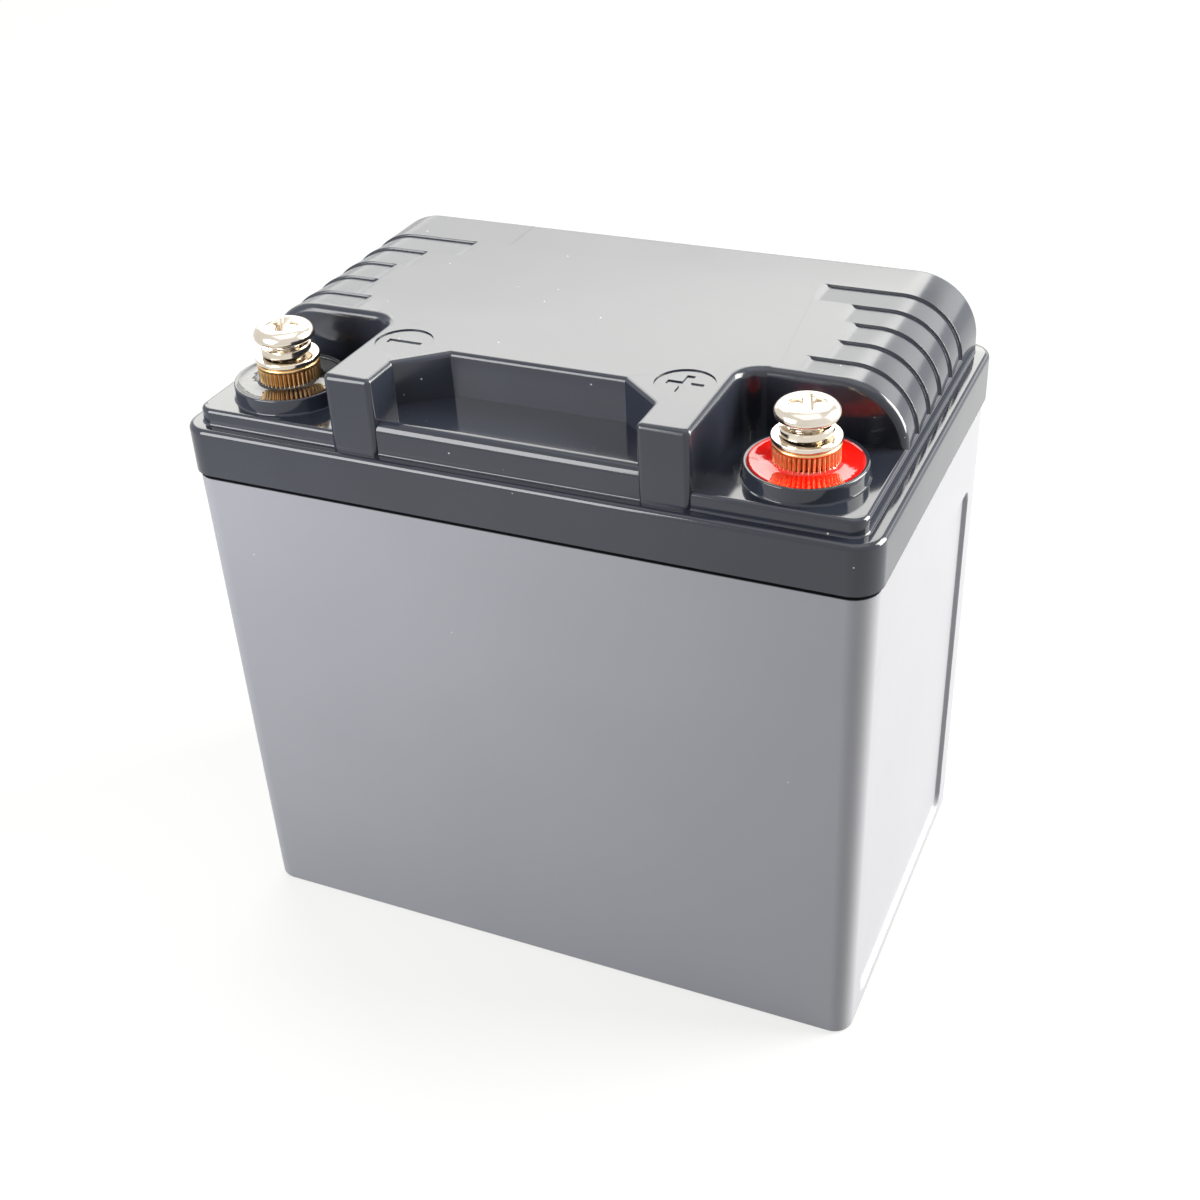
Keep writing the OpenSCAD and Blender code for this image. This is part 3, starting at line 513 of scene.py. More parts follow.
def soft_copy(node, name, material, edge):
    """A copy of a CAD pad with its loose triangles joined, the flat ones dissolved into
    one face, and its edges rounded to a radius of edge, in metres."""
    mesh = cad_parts[node].data.copy()
    mesh.name = name
    joined = bmesh.new()
    joined.from_mesh(mesh)
    bmesh.ops.remove_doubles(joined, verts=joined.verts, dist=edge / 1000)
    flat = math.radians(1)
    bmesh.ops.dissolve_limit(
        joined, angle_limit=flat, verts=joined.verts, edges=joined.edges
    )
    joined.to_mesh(mesh)
    joined.free()
    mesh.materials.clear()
    mesh.materials.append(material)
    pad = bpy.data.objects.new(name, mesh)
    bpy.context.scene.collection.objects.link(pad)
    rounding = pad.modifiers.new("soft_edges", "BEVEL")
    rounding.width = edge
    rounding.segments = 3
    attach(pad, "pack")
    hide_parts(node)


foam = cut_foam("eva_foam_cut", "#2C2F31")
for foam_node in ("base_foam", "end_foams", "side_foams", "hold_down_foam"):
    soft_copy(foam_node, foam_node + "_pads", foam, edge=0.5 * MM)

# ---- Cells --------------------------------------------------------------------------------
# Drawn steel cans, nickel plated and shrink-sleeved, held by two moulded holders. Their ends
# are joined by welded strips of rolled nickel.


def dress(material, *nodes):
    """Gives CAD nodes, whose shape is right as it is, this material."""
    for node in nodes:
        for material_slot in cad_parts[node].material_slots:
            material_slot.material = material


def drawn_metal(name, colour, worn_colour, gloss, line, stretch=(1, 1, 0.06)):
    """Bare or plated metal with fine lines where it was drawn, rolled or turned. line is
    their spacing in metres, and stretch how much they are drawn out along each axis. They
    are a sixtieth of their spacing deep, and the colour drifts over stains of 3.5 mm."""
    stain_size, groove, drift = 0.0035, line / 60, 0.3
    material, tree = new_material(name)
    place = add(tree, "TexCoord", {}).outputs["Object"]
    drawn = add(tree, "Mapping", {"Vector": place, "Scale": stretch})
    lines = add(
        tree, "TexNoise", {"Vector": drawn.outputs[0], "Scale": 1 / line, "Detail": 3.0}
    )
    tone = two_tone(tree, place, stain_size, 3.0, colour, worn_colour)[1]
    reach = {"To Min": gloss * (1 - drift), "To Max": gloss * (1 + drift)}
    sheen = add(tree, "MapRange", {"Value": lines.outputs[0], **reach})
    scored = add(tree, "Bump", {"Height": lines.outputs[0], "Distance": groove})
    shader = add(
        tree,
        "BsdfPrincipled",
        {
            "Base Color": tone,
            "Metallic": 1.0,
            "Roughness": sheen.outputs[0],
            "Normal": scored.outputs[0],
        },
    )
    add(tree, "OutputMaterial", {"Surface": shader.outputs[0]})
    return material


def smooth_polymer(name, colour, second_colour, gloss, patch):
    """Film, rubber or moulded plastic with a smooth skin. Its colour drifts between two
    tones over patches of a given size in metres, and its gloss drifts with them, by a fifth
    to both sides."""
    material, tree = new_material(name)
    place = add(tree, "TexCoord", {}).outputs["Object"]
    drift, tone = two_tone(tree, place, patch, 4.0, colour, second_colour)
    sheen = add(
        tree, "MapRange", {"Value": drift, "To Min": gloss * 0.8, "To Max": gloss * 1.2}
    )
    shader = add(
        tree, "BsdfPrincipled", {"Base Color": tone, "Roughness": sheen.outputs[0], "IOR": 1.5}
    )
    add(tree, "OutputMaterial", {"Surface": shader.outputs[0]})
    return material


# The plated cans and the rolled strips shine softly, the film is a glossy teal, and the
# holders are a dull black.
can = drawn_metal("nickel_plated_steel_can", "#C3C4C2", "#A9ABAB", gloss=0.3, line=0.0003)
sleeve = smooth_polymer("pvc_shrink_film", "#1E7A82", "#237F86", gloss=0.22, patch=0.006)
holder_abs = smooth_polymer("abs_moulded_black", "#232528", "#2B2D30", gloss=0.5, patch=0.004)
strip_nickel = drawn_metal(
    "nickel_strip_rolled", "#C9C7BF", "#B3B1A9", gloss=0.28, line=0.0002, stretch=(1, 0.05, 1)
)
dress(can, "cells_1", "cells_2", "cells_3", "cells_4")
dress(sleeve, "cell_sleeves")
dress(holder_abs, "lower_holder", "upper_holder")
dress(
    strip_nickel, "strip_negative", "strip_1_2", "strip_2_3", "strip_3_4", "strip_positive"
)

# ---- Management board ---------------------------------------------------------------------
# A glass-epoxy board on a foam tape pad, over a sheet of pressed fibre. It carries moulded
# transistors, chips, shunts and the connector of the sense leads.

# Pressed fibre is a dull tan, foam tape and nylon are milky, the solder mask over the glass
# epoxy is a glossy green, chip resin a satin black, and the shunts a dull grey metal.
fibre = smooth_polymer("pressed_fibre_sheet", "#C6B27C", "#B8A36C", gloss=0.7, patch=0.0008)
tape = smooth_polymer("acrylic_foam_tape", "#E2E0D8", "#D8D6CE", gloss=0.85, patch=0.0006)
glass_epoxy = smooth_polymer(
    "glass_epoxy_solder_mask", "#1C6542", "#20704A", gloss=0.28, patch=0.0012
)
chip_resin = smooth_polymer("moulded_chip_resin", "#191A1C", "#222325", gloss=0.55, patch=0.0004)
shunt_metal = drawn_metal("copper_manganese_shunt", "#A8A49C", "#8F8B84", gloss=0.4, line=0.0001)
nylon = smooth_polymer("nylon_natural", "#E6E1D0", "#DDD8C6", gloss=0.45, patch=0.003)
dress(fibre, "insulation_sheet")
dress(tape, "board_tape")
dress(glass_epoxy, "board")
dress(chip_resin, "board_mosfets", "board_chips")
dress(shunt_metal, "board_shunts")
dress(nylon, "balance_header", "balance_plug")

# ---- Leads and lugs -----------------------------------------------------------------------
# Soft silicone leads run from the strips and the board to crimped ring lugs, which screws
# hold to the terminals from inside. A bead of sealant closes the lid's joint.

# Silicone has a soft, waxy sheen, and tinned copper a pale grey one.
red_silicone = smooth_polymer("silicone_red", "#B4211B", "#A81D18", gloss=0.5, patch=0.004)
black_silicone = smooth_polymer("silicone_black", "#18181A", "#1F1F21", gloss=0.5, patch=0.004)
orange_silicone = smooth_polymer("silicone_orange", "#C76F28", "#BC6723", gloss=0.5, patch=0.004)
tin = drawn_metal("tinned_copper", "#B7B9BB", "#A2A4A6", gloss=0.35, line=0.0002)
sealant = smooth_polymer("silicone_sealant", "#161719", "#1C1D1F", gloss=0.6, patch=0.002)
dress(red_silicone, "positive_lead")
dress(black_silicone, "negative_lead", "board_lead")
dress(orange_silicone, "balance_leads")
dress(tin, "positive_lug", "negative_lug")
dress(sealant, "lid_sealant")

# ---- Lid ----------------------------------------------------------------------------------
# One moulding in dark ABS from a polished mould: a skirt that laps the case, a ledge, a deck
# with two terminal pockets, and a raised block with finned ends, a finger recess between two
# horns, and a sunk disc for each pole's sign. It is bonded to the case's tongue.

ledge_z, deck_z = 93.7, 96.4
ledge_width = (2.5, 2.1)
deck_half = pack_half - ledge_width
deck_front = -deck_half[1]
deck_r = 2.5
end_r = 10.2
end_centre = np.array((deck_half[0] - end_r, top_z - end_r))
pocket_back, pocket_r = -11.0, 3.5
horn_outer, horn_inner, horn_proud = 28.9, 20.9, 0.5
recess_back, recess_back_half, recess_side, recess_z = -20.2, 14.1, -26.0, 98.95
terminal = np.array((42.0, -22.3))
boss_r, boss_top, boss_wall = 8.85, 98.9, 0.6
mark_at, mark_r, mark_depth = np.array((22.8, -18.8)), 4.5, 0.2
mark_bar, mark_bar_w = 5.6, 1.3
# Two surfaces in one plane would show black patches, so the covered one stays behind by this
hidden = 0.02
block_back = deck_half[1] + 2 * hidden


def rounded_path(corners, arc_steps=9):
    """A closed outline from rows of x, y and corner radius, running anticlockwise. Each
    corner is an arc that touches both sides; a hollow corner's arc turns the other way.
    Returns its points and the outward direction at each."""
    at, r = corners[:, :2], corners[:, 2]
    back = np.roll(at, 1, 0) - at
    ahead = np.roll(at, -1, 0) - at
    back = back / np.linalg.norm(back, axis=1)[:, None]
    ahead = ahead / np.linalg.norm(ahead, axis=1)[:, None]
    half = np.arccos(np.clip((back * ahead).sum(1), -1, 1)) / 2
    middle = (back + ahead) / np.linalg.norm(back + ahead, axis=1)[:, None]
    centre = at + middle * (r / np.sin(half))[:, None]
    bend = np.sign(back[:, 1] * ahead[:, 0] - back[:, 0] * ahead[:, 1])
    start = at + back * (r / np.tan(half))[:, None] - centre
    first = np.arctan2(start[:, 1], start[:, 0])
    angle = first[:, None] + (bend * (np.pi - 2 * half))[:, None] * np.linspace(0, 1, arc_steps)
    round_way = np.stack((np.cos(angle), np.sin(angle)), -1)
    points = centre[:, None] + r[:, None, None] * round_way
    return points.reshape(-1, 2), (bend[:, None, None] * round_way).reshape(-1, 2)


def fill(loops, z):
    """Triangles that fill the first loop and leave out the others, all at height z. The
    triangulation is Delaunay's, held to the loops' edges, and every triangle is turned
    upwards."""
    points = np.concatenate(loops)
    edges, first = [], 0
    for loop in loops:
        k = np.arange(len(loop)) + first
        edges += np.stack((k, np.roll(k, -1)), -1).tolist()
        first += len(loop)
    whole_area, same_point = 0, 1e-6
    flat, _, triangles, *_ = delaunay_2d_cdt(
        [Vector(p) for p in points], edges, [], whole_area, same_point, False
    )
    flat = np.array([tuple(p) for p in flat])
    triangles = np.array(triangles)
    middle = flat[triangles].mean(1)
    keep = inside_loop(middle, loops[0])
    for hole in loops[1:]:
        keep &= ~inside_loop(middle, hole)
    triangles = triangles[keep]
    a, b, c = (flat[triangles[:, k]] for k in range(3))
    u, v = b - a, c - a
    downwards = u[:, 0] * v[:, 1] < u[:, 1] * v[:, 0]
    triangles[downwards] = triangles[downwards][:, ::-1]
    return np.column_stack((flat, np.full(len(flat), z))), triangles.tolist()


def inside_loop(points, loop):
    """True where a ray along X from the point crosses the loop an odd number of times."""
    a, b = loop, np.roll(loop, -1, 0)
    x, y = points[:, :1], points[:, 1:]
    spans = (a[:, 1] > y) != (b[:, 1] > y)
    rise = np.where(a[:, 1] == b[:, 1], 1e-12, b[:, 1] - a[:, 1])
    crossing = a[:, 0] + (y - a[:, 1]) * (b[:, 0] - a[:, 0]) / rise
    return (spans & (x < crossing)).sum(1) % 2 == 1


def circle(centre, r, steps=64):
    """Points of a circle, anticlockwise."""
    t = np.arange(steps) * 2 * np.pi / steps
    return np.asarray(centre) + r * np.stack((np.cos(t), np.sin(t)), -1)


def hollow(outline, foot, mouth):
    """The walls of a hollow, turned inwards, over an outline from its foot to its mouth."""
    points, quads = skin(np.stack([np.insert(outline, 2, z, axis=1) for z in (foot, mouth)]))
    return points, [face[::-1] for face in quads]


def raised(points, normals, edge_r, low, high):
    """Upright walls on an outline, up to a rounded top edge whose radius is given for each
    point. Returns the rings from the foot up, the last lying on the flat top."""
    c, s = quarter()
    inset = np.concatenate((np.zeros((1, len(points))), edge_r * (1 - c)[:, None]))
    z = np.concatenate((np.full((1, len(points)), low), high - edge_r * (1 - s)[:, None]))
    flat = points[None] - normals[None] * inset[..., None]
    return np.concatenate((flat, z[..., None]), -1)


fin_count, fin_pitch, fin_step, first_fin = 5, 6.6, 0.36, block_back - 10.8
lid_shape = Shape()

# Skirt, ledge and deck: rings from the inner edge of the lip round to the deck's edge
skirt_edge, ledge_fillet, deck_edge = 0.9, 0.35, 0.7
lip, lid_wall, rest_z, lip_edge, skirt_middle = 1.5, 2.4, 88.5, 0.25, 90
skirt_inset = np.concatenate(((lip, lip_edge, 0, 0), skirt_edge * (1 - cos_q)))
lip_z = (lid_low[2], lid_low[2], lid_low[2] + lip_edge, skirt_middle)
skirt_z = np.concatenate((lip_z, ledge_z - skirt_edge * (1 - sin_q)))
skirt = ring_walls(pack_half, skirt_inset, lid_corner_r, skirt_z)
deck_inset = np.concatenate((-ledge_fillet * (1 - sin_q), deck_edge * (1 - cos_q)))
deck_rise = np.concatenate(
    (ledge_z + ledge_fillet * (1 - cos_q), deck_z - deck_edge * (1 - sin_q))
)
deck = ring_walls(deck_half, deck_inset, deck_r, deck_rise)
inner_inset = np.array((lid_wall, lid_wall, lip, lip))
inner_z = np.array((ledge_z - lid_wall, rest_z, rest_z, lid_low[2]))
inner = ring_walls(pack_half, inner_inset, lid_corner_r, inner_z)
body_rings = np.concatenate((inner, skirt, deck))
lid_shape.put(*skin(body_rings))
boss_bores = [circle(terminal * (side, 1), boss_r - boss_wall) for side in (1, -1)]
lid_shape.put(*fill([deck[-1, :, :2], *boss_bores], deck_z), flat=True)
ceiling_z = inner_z[0]
points, triangles = fill([inner[0, :, :2], *boss_bores], ceiling_z)
lid_shape.put(points, [face[::-1] for face in triangles])
for bore in boss_bores:
    lid_shape.put(*hollow(bore, ceiling_z, deck_z))

# The plain top, the bridge behind the recess and the two horns, on one outline
tip_x = horn_outer + pocket_r + 1.5
right_side = np.array(
    (
        (horn_inner, deck_front - horn_proud, 0.9, 0.8),
        (horn_outer, deck_front - horn_proud, 1.1, 1.0),
        (horn_outer, pocket_back, pocket_r, 1.3),
        (tip_x, pocket_back, 1.45, 1.3),
        (tip_x - 0.4, pocket_back + 4, 0.3, hidden),
        (tip_x - 4, first_fin, 4.0, hidden),
    )
)
left_side = right_side[::-1] * (-1, 1, 1, 1)
notch = np.array(
    (
        (-horn_inner, recess_side, 0.3, 0.8),
        (-recess_back_half, recess_back, 0.3, 0.8),
        (recess_back_half, recess_back, 0.3, 0.8),
        (horn_inner, recess_side, 0.3, 0.8),
    )
)
corners = np.concatenate((right_side, left_side, notch))
points, normals = rounded_path(corners[:, :3])
edges = np.repeat(corners[:, 3], len(points) // len(corners))
block = raised(points, normals, edges, ledge_z, top_z)
mark_loops = [circle(mark_at * (side, 1), mark_r) for side in (1, -1)]
points, quads = skin(block)
lid_shape.put(points, quads + [lids(block)[0]])
lid_shape.put(*fill([block[-1, :, :2], *mark_loops], top_z), flat=True)

# The discs with the signs: a minus for one pole, and a plus for the other
bar_x, bar_y = mark_bar / 2, mark_bar_w / 2
minus = np.array([(x * bar_x, y * bar_y, 0.15) for x, y in ((1, -1), (1, 1), (-1, 1), (-1, -1))])
arm = np.array(
    ((bar_y, -bar_x, 0.15), (bar_y, -bar_y, 0.1), (bar_x, -bar_y, 0.15), (bar_x, bar_y, 0.15))
)
arm = np.concatenate((arm, ((bar_y, bar_y, 0.1), (bar_y, bar_x, 0.15))))
plus = np.concatenate((arm, arm * (-1, -1, 1)))
for side, sign in ((1, plus), (-1, minus)):
    centre = mark_at * (side, 1)
    sign_points = rounded_path(sign, 4)[0] + centre
    rim = circle(centre, mark_r)
    floor_z, sign_z = top_z - mark_depth, top_z - 2 * mark_depth
    lid_shape.put(*hollow(rim, floor_z, top_z))
    lid_shape.put(*fill([rim, sign_points], floor_z))
    lid_shape.put(*hollow(sign_points, sign_z, floor_z))
    lid_shape.put(*fill([sign_points], sign_z))

# The floor of the recess: a bar with a round front edge, set between the horns
lip_r, bar_tuck = 1.6, 0.4
bar_half, bar_back, bar_front = horn_inner + bar_tuck, recess_back + bar_tuck, deck_front - hidden
profile = np.concatenate(
    (
        ((bar_back, ledge_z), (bar_front, ledge_z)),
        np.column_stack((bar_front + lip_r * (1 - cos_q), recess_z - lip_r * (1 - sin_q))),
        ((bar_back, recess_z),),
    )
)
lid_shape.put_rings(np.stack([np.insert(profile, 0, x, axis=1) for x in (bar_half, -bar_half)]))

# The finned ends of the block. A row is the section at one place along Y: flat, then round
# the end radius, then straight down. Each fin climbs towards the front and drops by a step,
# and the steps die out where they run into the plain top.
riser, back_edge, pocket_edge = 0.12, 1.5, 1.3
fin_lines = first_fin - fin_pitch * np.arange(fin_count)
fin_inner, fin_fade = np.array((30.8, 37.0, 39.3, 39.0, 36.5)), 0.9
flat_from, flat_steps, arc_points = 25, 39, 25
line_y = np.concatenate([line + np.array((riser, 0.05, 0, -0.06, -riser)) for line in fin_lines])
line_drop = np.tile(np.array((0.0, 0.06, 0.25, 0.85, 1.0)) * fin_step, fin_count)
end_drop = fin_step * (1 - (fin_lines[-1] - pocket_back) / fin_pitch)
full_inset = end_r - 2 * hidden
ends = np.full(2, full_inset)
section_y = np.concatenate(
    (
        (block_back, block_back),
        block_back - back_edge * (1 - cos_q),
        line_y,
        pocket_back + pocket_edge * (1 - cos_q[::-1]),
        (pocket_back, pocket_back),
    )
)
step_drop = np.concatenate(
    (np.zeros(2 + len(cos_q)), line_drop, np.full(len(cos_q), end_drop), np.zeros(2))
)
edge_drop = np.concatenate(
    (
        ends,
        back_edge * (1 - sin_q),
        np.zeros(len(line_y)),
        pocket_edge * (1 - sin_q[::-1]),
        ends,
    )
)
flat_x = np.linspace(flat_from, end_centre[0], flat_steps, endpoint=False)
along = np.concatenate((flat_x, np.full(arc_points, end_centre[0])))
sweep = np.concatenate((np.zeros(flat_steps), np.linspace(0, np.pi / 2, arc_points)))


def fin_section(y, step, edge):
    """Rows of points over one finned end. A row's flat is lowered, and its arc made smaller,
    by its edge's rounding and by its step, which grows smoothly from the line's inner end."""
    start = np.interp(y, fin_lines[::-1], fin_inner[::-1])[:, None]
    grow = np.clip((along[None, :] - start) / fin_fade, 0, 1)
    r = end_r - hidden - edge[:, None] - step[:, None] * grow * grow * (3 - 2 * grow)
    x = along[None, :] + r * np.sin(sweep)[None, :]
    z = end_centre[1] + r * np.cos(sweep)[None, :]
    yy = np.broadcast_to(y[:, None], x.shape)
    feet_x = np.concatenate((x[:, -1:], x[:, :1]), 1)
    feet = np.stack((feet_x, yy[:, :2], np.full_like(feet_x, ledge_z)), -1)
    return np.concatenate((np.stack((x, yy, z), -1), feet), 1)


section = fin_section(section_y, step_drop, edge_drop)
lid_shape.put_rings(section)
lid_shape.put_rings(section[::-1] * (-1, 1, 1))

# The middle of the block's back, between the two finned ends
middle_half, middle_front, middle_back = 26, block_back - 15, block_back - hidden
middle_top = top_z - 2 * hidden
back_profile = np.concatenate(
    (
        ((middle_front, ledge_z), (middle_front, middle_top)),
        np.column_stack(
            (
                middle_back - back_edge * (1 - cos_q[::-1]),
                middle_top - back_edge * (1 - sin_q[::-1]),
            )
        ),
        ((middle_back, ledge_z),),
    )
)
middle = [np.insert(back_profile, 0, x, axis=1) for x in (-middle_half, middle_half)]
lid_shape.put_rings(np.stack(middle))

# The bosses round the terminals, turned about their axes: a hollow fillet at the foot, a
# rounded top edge, and the bore
boss_edge = 0.25
boss_profile = np.concatenate(
    (
        ((boss_r + 0.35, deck_z - hidden), (boss_r + 0.1, deck_z + 0.08), (boss_r, deck_z + 0.35)),
        np.column_stack((boss_r - boss_edge * (1 - cos_q), boss_top - boss_edge * (1 - sin_q))),
        ((boss_r - boss_wall, boss_top - 0.1), (boss_r - boss_wall, deck_z - 1)),
    )
)


def about(centre, r, t, z):
    """Points at a radius, an angle and a height about an upright axis."""
    x, y = centre[0] + r * np.cos(t), centre[1] + r * np.sin(t)
    return np.stack(np.broadcast_arrays(x, y, z), -1)


def turned(profile, centre, steps=72):
    """A profile of radius and height turned about an upright axis, from its first point
    round to its last."""
    t = np.arange(steps) * 2 * np.pi / steps
    return about(centre, profile[:, :1], t, profile[:, 1:])


for side in (1, -1):
    lid_shape.put_rings(turned(boss_profile, terminal * (side, 1)), hoop=True)

# Polished ABS: nearly smooth, so it mirrors the softboxes, with faint ripples and dust.
lid_abs = moulded_abs(
    "abs_polished_dark",
    "#20242F",
    "#323640",
    gloss=0.1,
    satin_z=(deck_z + 4) * MM,
    joint_shade_z=nowhere,
    grain=0.0004,
    grain_depth=0.000001,
    wave_depth=0.00005,
    dust=0.08,
)
lid_shape.make("lid_shell", lid_abs, "pack", ["lid"])

# ---- Terminal inserts ---------------------------------------------------------------------
# Turned brass bushes with a straight knurl that the lid's plastic grips, a chamfered collar
# on top and a bore that the screw fills.

insert_low, insert_high = (np.array(c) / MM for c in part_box("positive_insert"))
knurl_teeth, tooth_points, tooth_power = 40, 8, 0.9
bore_r = 2.5
collar_r = (insert_high[0] - insert_low[0]) / 2
tooth_r, tooth_depth = collar_r - 0.08, 0.6
collar_z = insert_high[2] - 0.6
chamfer = 0.3


def knurled(centre):
    """Rings of the bush from its bore's foot round to its bore's top. Between foot and
    collar the radius dips by tooth_depth between teeth, as the sine of the angle to a power.
    A row is a radius, a height and how much of the dip there is."""
    t = np.arange(knurl_teeth * tooth_points) * 2 * np.pi / (knurl_teeth * tooth_points)
    valley = np.abs(np.sin(t * knurl_teeth / 2)) ** tooth_power
    foot_z = insert_low[2]
    rows = np.array(
        (
            (bore_r, foot_z, 0),
            (tooth_r - tooth_depth, foot_z, 0),
            (tooth_r - 0.1, foot_z + 0.2, 1),
            (tooth_r, collar_z - 0.35, 1),
            (tooth_r, collar_z - 0.12, 0.6),
            (tooth_r, collar_z, 0),
            (collar_r - 0.03, collar_z + 0.02, 0),
            (collar_r, collar_z + 0.08, 0),
            (collar_r, insert_high[2] - chamfer, 0),
            (collar_r - 0.06, insert_high[2] - chamfer + 0.08, 0),
            (collar_r - chamfer, insert_high[2], 0),
            (bore_r + 0.3, insert_high[2], 0),
            (bore_r, insert_high[2] - 0.3, 0),
        )
    )
    r = rows[:, :1] - rows[:, 2:] * tooth_depth * (1 - valley)[None, :]
    return about(centre, r, t, rows[:, 1:2])


# Bright turned brass: golden where it mirrors the white room, brown between the teeth.
brass = drawn_metal(
    "brass_turned", "#E6C08A", "#CDA574", gloss=0.3, line=0.0003, stretch=(0.2, 0.2, 1)
)
sides = (("positive", 1), ("negative", -1))
for pole, side in sides:
    bush = Shape()
    bush.put_rings(knurled(terminal * (side, 1)), hoop=True)
    bush.make(pole + "_knurled_insert", brass, "pack", [pole + "_insert"], 50)

# ---- Sealing resin ------------------------------------------------------------------------
# Two-part epoxy poured into the boss round each insert, red for one pole and black for the
# other. It cured with a gloss skin and crept up the knurl and the rim.

resin_low, resin_high = (np.array(c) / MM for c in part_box("positive_resin"))
cup_r = (resin_high[0] - resin_low[0]) / 2
resin_z = resin_high[2] - 0.28
knurl_creep, knurl_reach, rim_creep, rim_reach = 0.6, 0.5, 0.2, 0.3
creep_r = np.linspace(tooth_r - tooth_depth / 2, cup_r, 28)
creep = knurl_creep * np.exp((creep_r[0] - creep_r) / knurl_reach)
creep = creep + rim_creep * np.exp((creep_r - cup_r) / rim_reach)
resin_profile = np.concatenate(
    (
        ((creep_r[0], resin_low[2]), (cup_r, resin_low[2])),
        np.column_stack((creep_r, resin_z + creep))[::-1],
    )
)


def poured_epoxy(name, colour, deep_colour, depth):
    """Cured epoxy: a gloss skin over pigment that lets light in a little way. Its swirls are
    3 mm across and raise the skin by 0.03 mm."""
    swirl_size, swirl_height = 0.003, 0.00003
    material, tree = new_material(name)
    place = add(tree, "TexCoord", {}).outputs["Object"]
    swirl, tone = two_tone(tree, place, swirl_size, 2.0, colour, deep_colour, distortion=1.2)
    ripple = add(tree, "Bump", {"Height": swirl, "Distance": swirl_height})
    shader = add(
        tree,
        "BsdfPrincipled",
        {
            "Base Color": tone,
            "Roughness": 0.07,
            "IOR": 1.55,
            "Subsurface Weight": depth,
            "Subsurface Radius": (0.0012, 0.0003, 0.0002),
            "Subsurface Scale": 1.0,
            "Normal": ripple.outputs[0],
        },
    )
    add(tree, "OutputMaterial", {"Surface": shader.outputs[0]})
    return material


# Red epoxy glows a little at its edges, black epoxy only mirrors.
red_epoxy = poured_epoxy("epoxy_poured_red", "#EE1408", "#DC0E05", 0.15)
black_epoxy = poured_epoxy("epoxy_poured_black", "#0C0D10", "#121317", 0.0)
for (pole, side), epoxy, resin_slot in zip(
    sides, (red_epoxy, black_epoxy), ("red_resin", "black_resin")
):
    pool = Shape()
    pool.put_rings(turned(resin_profile, terminal * (side, 1)), hoop=True)
    pool.make(pole + "_resin_pool", epoxy, "pack", [pole + "_resin"], 50)

# ---- Washers and screws -------------------------------------------------------------------
# Nickel-plated M5 pan head screws with a stamped flat washer and a split spring washer that
# stay on the screw.

# Plating is bright and warm, with faint brown stains.
nickel = drawn_metal(
    "nickel_plated_steel", "#E4DCD0", "#CDC2B2", gloss=0.16, line=0.0005, stretch=(0.3, 0.3, 1)
)
washer_low, washer_high = (np.array(c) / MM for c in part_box("positive_flat_washer"))
washer_r, washer_hole = (washer_high[0] - washer_low[0]) / 2, 2.65
stamp_edge = 0.18


def turned_rim(inner_r, outer_r, low, high, edge):
    """A ring's section, from its hole's foot round its outer edge to its hole's top. The
    outer edges are rounded, and the hole's top has a small chamfer."""
    c, s = quarter(4)
    return np.concatenate(
        (
            ((inner_r, low),),
            np.column_stack((outer_r - edge * (1 - s), low + edge * (1 - c))),
            np.column_stack((outer_r - edge * (1 - c), high - edge * (1 - s))),
            ((inner_r + edge / 2, high), (inner_r, high - edge / 2)),
        )
    )


spring_low, spring_high = (np.array(c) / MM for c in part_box("positive_spring_washer"))
spring_side = (spring_high[2] - spring_low[2]) / 2
spring_r = (spring_high[0] - spring_low[0]) / 2 - spring_side / 2
spring_start, spring_turn = math.radians(200), math.radians(348)


def split_ring(centre, steps=72, around=16):
    """A square wire with soft corners, carried once round the screw while it climbs by its
    own thickness. The section is a superellipse: the sum of the sixth powers is 1."""
    power = 6
    a = np.linspace(0, np.pi * 2, around, endpoint=False) + np.pi / around
    reach = (np.abs(np.cos(a)) ** power + np.abs(np.sin(a)) ** power) ** (-1 / power)
    wire_r, wire_z = reach * np.cos(a) * spring_side / 2, reach * np.sin(a) * spring_side / 2
    t = np.linspace(0, 1, steps)[:, None]
    angle = spring_start + spring_turn * t
    r = spring_r + wire_r[None, :]
    z = spring_low[2] + spring_side / 2 + spring_side * t + wire_z[None, :]
    return about(centre, r, angle, z)


screw_low, screw_high = (np.array(c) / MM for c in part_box("positive_screw"))
head_r = (screw_high[0] - screw_low[0]) / 2
head_z, head_top = spring_high[2] + 0.05, screw_high[2]
recess_r, recess_deep, wing_half, cross_angle = 2.75, 2.3, 0.72, math.radians(20)
wall_lean, crown_drop = 0.16, 0.35


def cross_depth(r, t):
    """Depth of the cross recess: four wings that get shallower and narrower outwards, with
    walls that lean over wall_lean, and a cone where they meet. r and t are the radius and
    the angle of a place on the head."""
    turn = np.mod(t - cross_angle + np.pi / 4, np.pi / 2) - np.pi / 4
    off, along_wing = np.abs(r * np.sin(turn)), r * np.cos(turn)
    floor_depth = recess_deep * np.clip(1 - (along_wing / recess_r) ** 1.6, 0, 1)
    half = wing_half * (1.08 - 0.25 * along_wing / recess_r)
    wall = np.clip((half - off) / wall_lean + 0.5, 0, 1)
    cone = recess_deep * np.clip(1.25 - r / 1.15, 0, 1)
    return np.maximum(floor_depth * wall, cone)


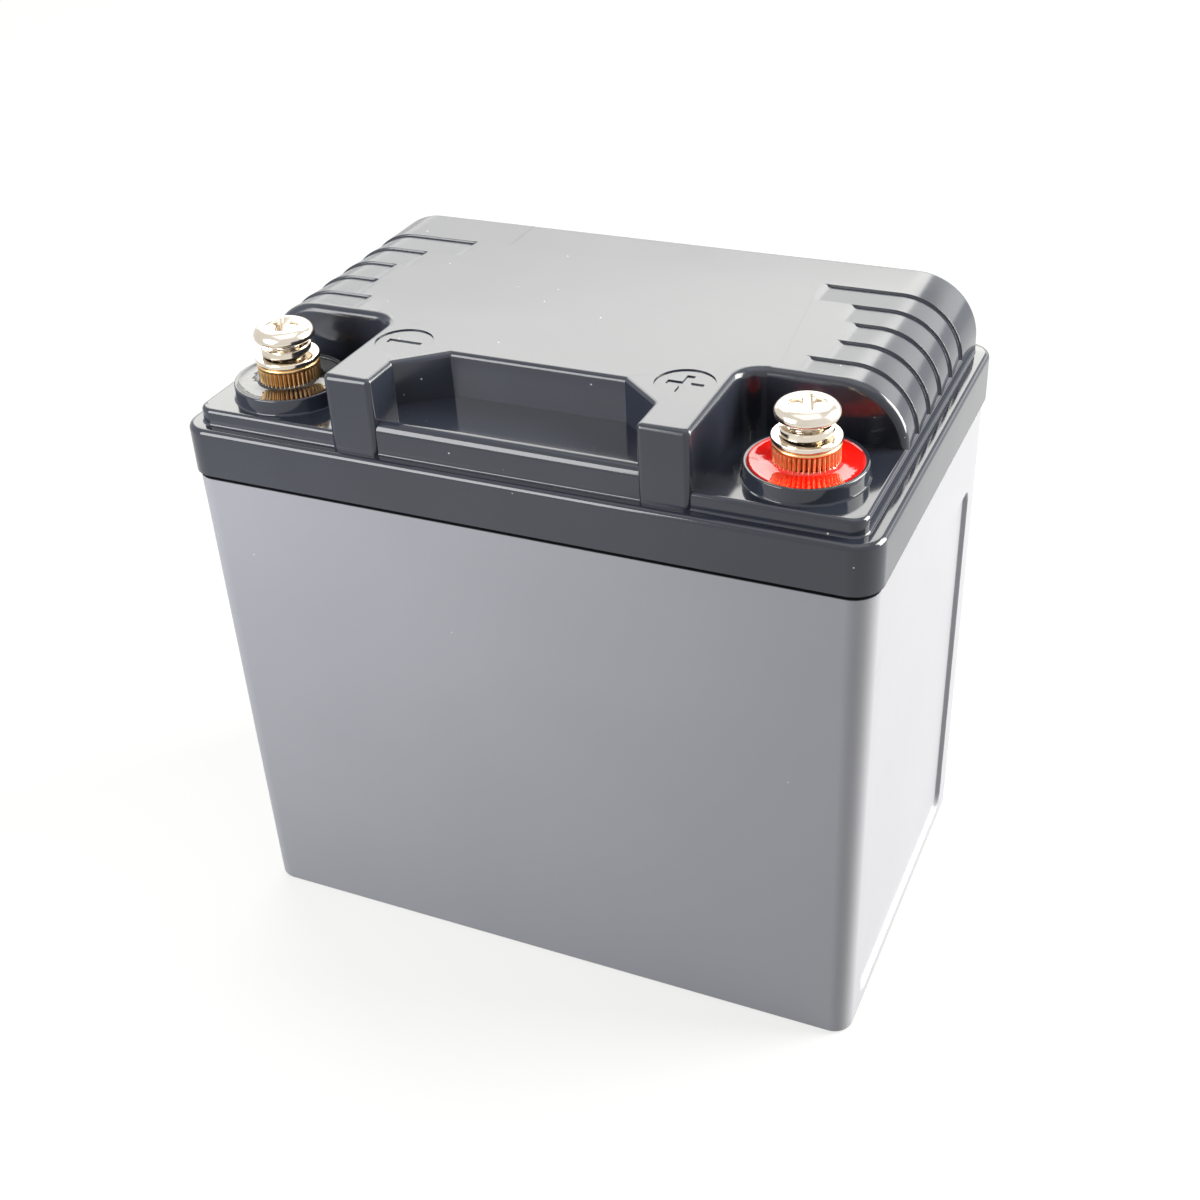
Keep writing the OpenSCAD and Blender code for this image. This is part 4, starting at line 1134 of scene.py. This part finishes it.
def pan_head(centre, columns=160):
    """Rings from under the head round its rim and over the dome to its middle, with the
    cross sunk into it. The dome is an ellipse from the rim to the crown, and the crown falls
    by crown_drop as the square of the radius."""
    rim_z = head_z + 0.8
    under = np.array(((2.45, head_z), (3.95, head_z), (head_r - 0.18, head_z + 0.25)))
    rim = np.array(((head_r - 0.03, head_z + 0.5), (head_r, rim_z)))
    crown = np.linspace(0, np.pi / 2, 16)[1:]
    dome_r = recess_r + 0.15 + (head_r - recess_r - 0.15) * np.cos(crown)
    dome_z = rim_z + (head_top - crown_drop - rim_z) * np.sin(crown)
    inner_r = np.linspace(recess_r + 0.1, 0.02, 44)
    inner_z = head_top - crown_drop * (inner_r / recess_r) ** 2
    r = np.concatenate((under[:, 0], rim[:, 0], dome_r, inner_r))[:, None]
    z = np.concatenate((under[:, 1], rim[:, 1], dome_z, inner_z))[:, None]
    t = np.arange(columns) * 2 * np.pi / columns
    deep = np.where(r < recess_r + 0.12, cross_depth(r, t[None, :]), 0)
    return about(centre, r, t, z - deep)


def rolled_thread(centre, columns=48):
    """The shank: a right-hand thread whose radius is a triangle wave of height and angle,
    with a plain neck under the head and a tapered tip. The thread runs out over runout."""
    pitch, crest_r, thread_height, runout, neck_in = 0.8, 2.44, 0.42, 0.3, 0.1
    tip_length, tip_in = 0.9, 0.55
    tip, neck = screw_low[2], head_z - 0.7
    z = np.concatenate((np.linspace(tip, neck, 130), (neck + 0.1, head_z)))[:, None]
    t = np.arange(columns) * 2 * np.pi / columns
    phase = np.mod(z / pitch - t / (2 * np.pi), 1)
    ridge = 1 - np.abs(2 * phase - 1)
    cut = np.clip((neck - z) / runout, 0, 1)
    taper = np.clip((z - tip) / tip_length, 0, 1)
    r = crest_r - neck_in * (1 - cut) - thread_height * (1 - ridge) * cut
    r = r - tip_in * (1 - taper)
    return about(centre, r, t, z)


for pole, side in sides:
    axis = terminal * (side, 1)
    washer = Shape()
    flat_ring = turned(
        turned_rim(washer_hole, washer_r, washer_low[2], washer_high[2], stamp_edge), axis
    )
    washer.put_rings(flat_ring, hoop=True)
    washers = pole + "_washers"
    washer.make(pole + "_stamped_washer", nickel, washers, [pole + "_flat_washer"])
    spring = Shape()
    spring.put_rings(split_ring(axis)[:, ::-1])
    spring.make(pole + "_split_washer", nickel, washers, [pole + "_spring_washer"])
    screw = Shape()
    screw.put_rings(pan_head(axis))
    screw.put_rings(rolled_thread(axis))
    screw.make(
        pole + "_pan_head_screw", nickel, pole + "_screw", [pole + "_screw"], 40
    )
dress(nickel, "lug_screws")
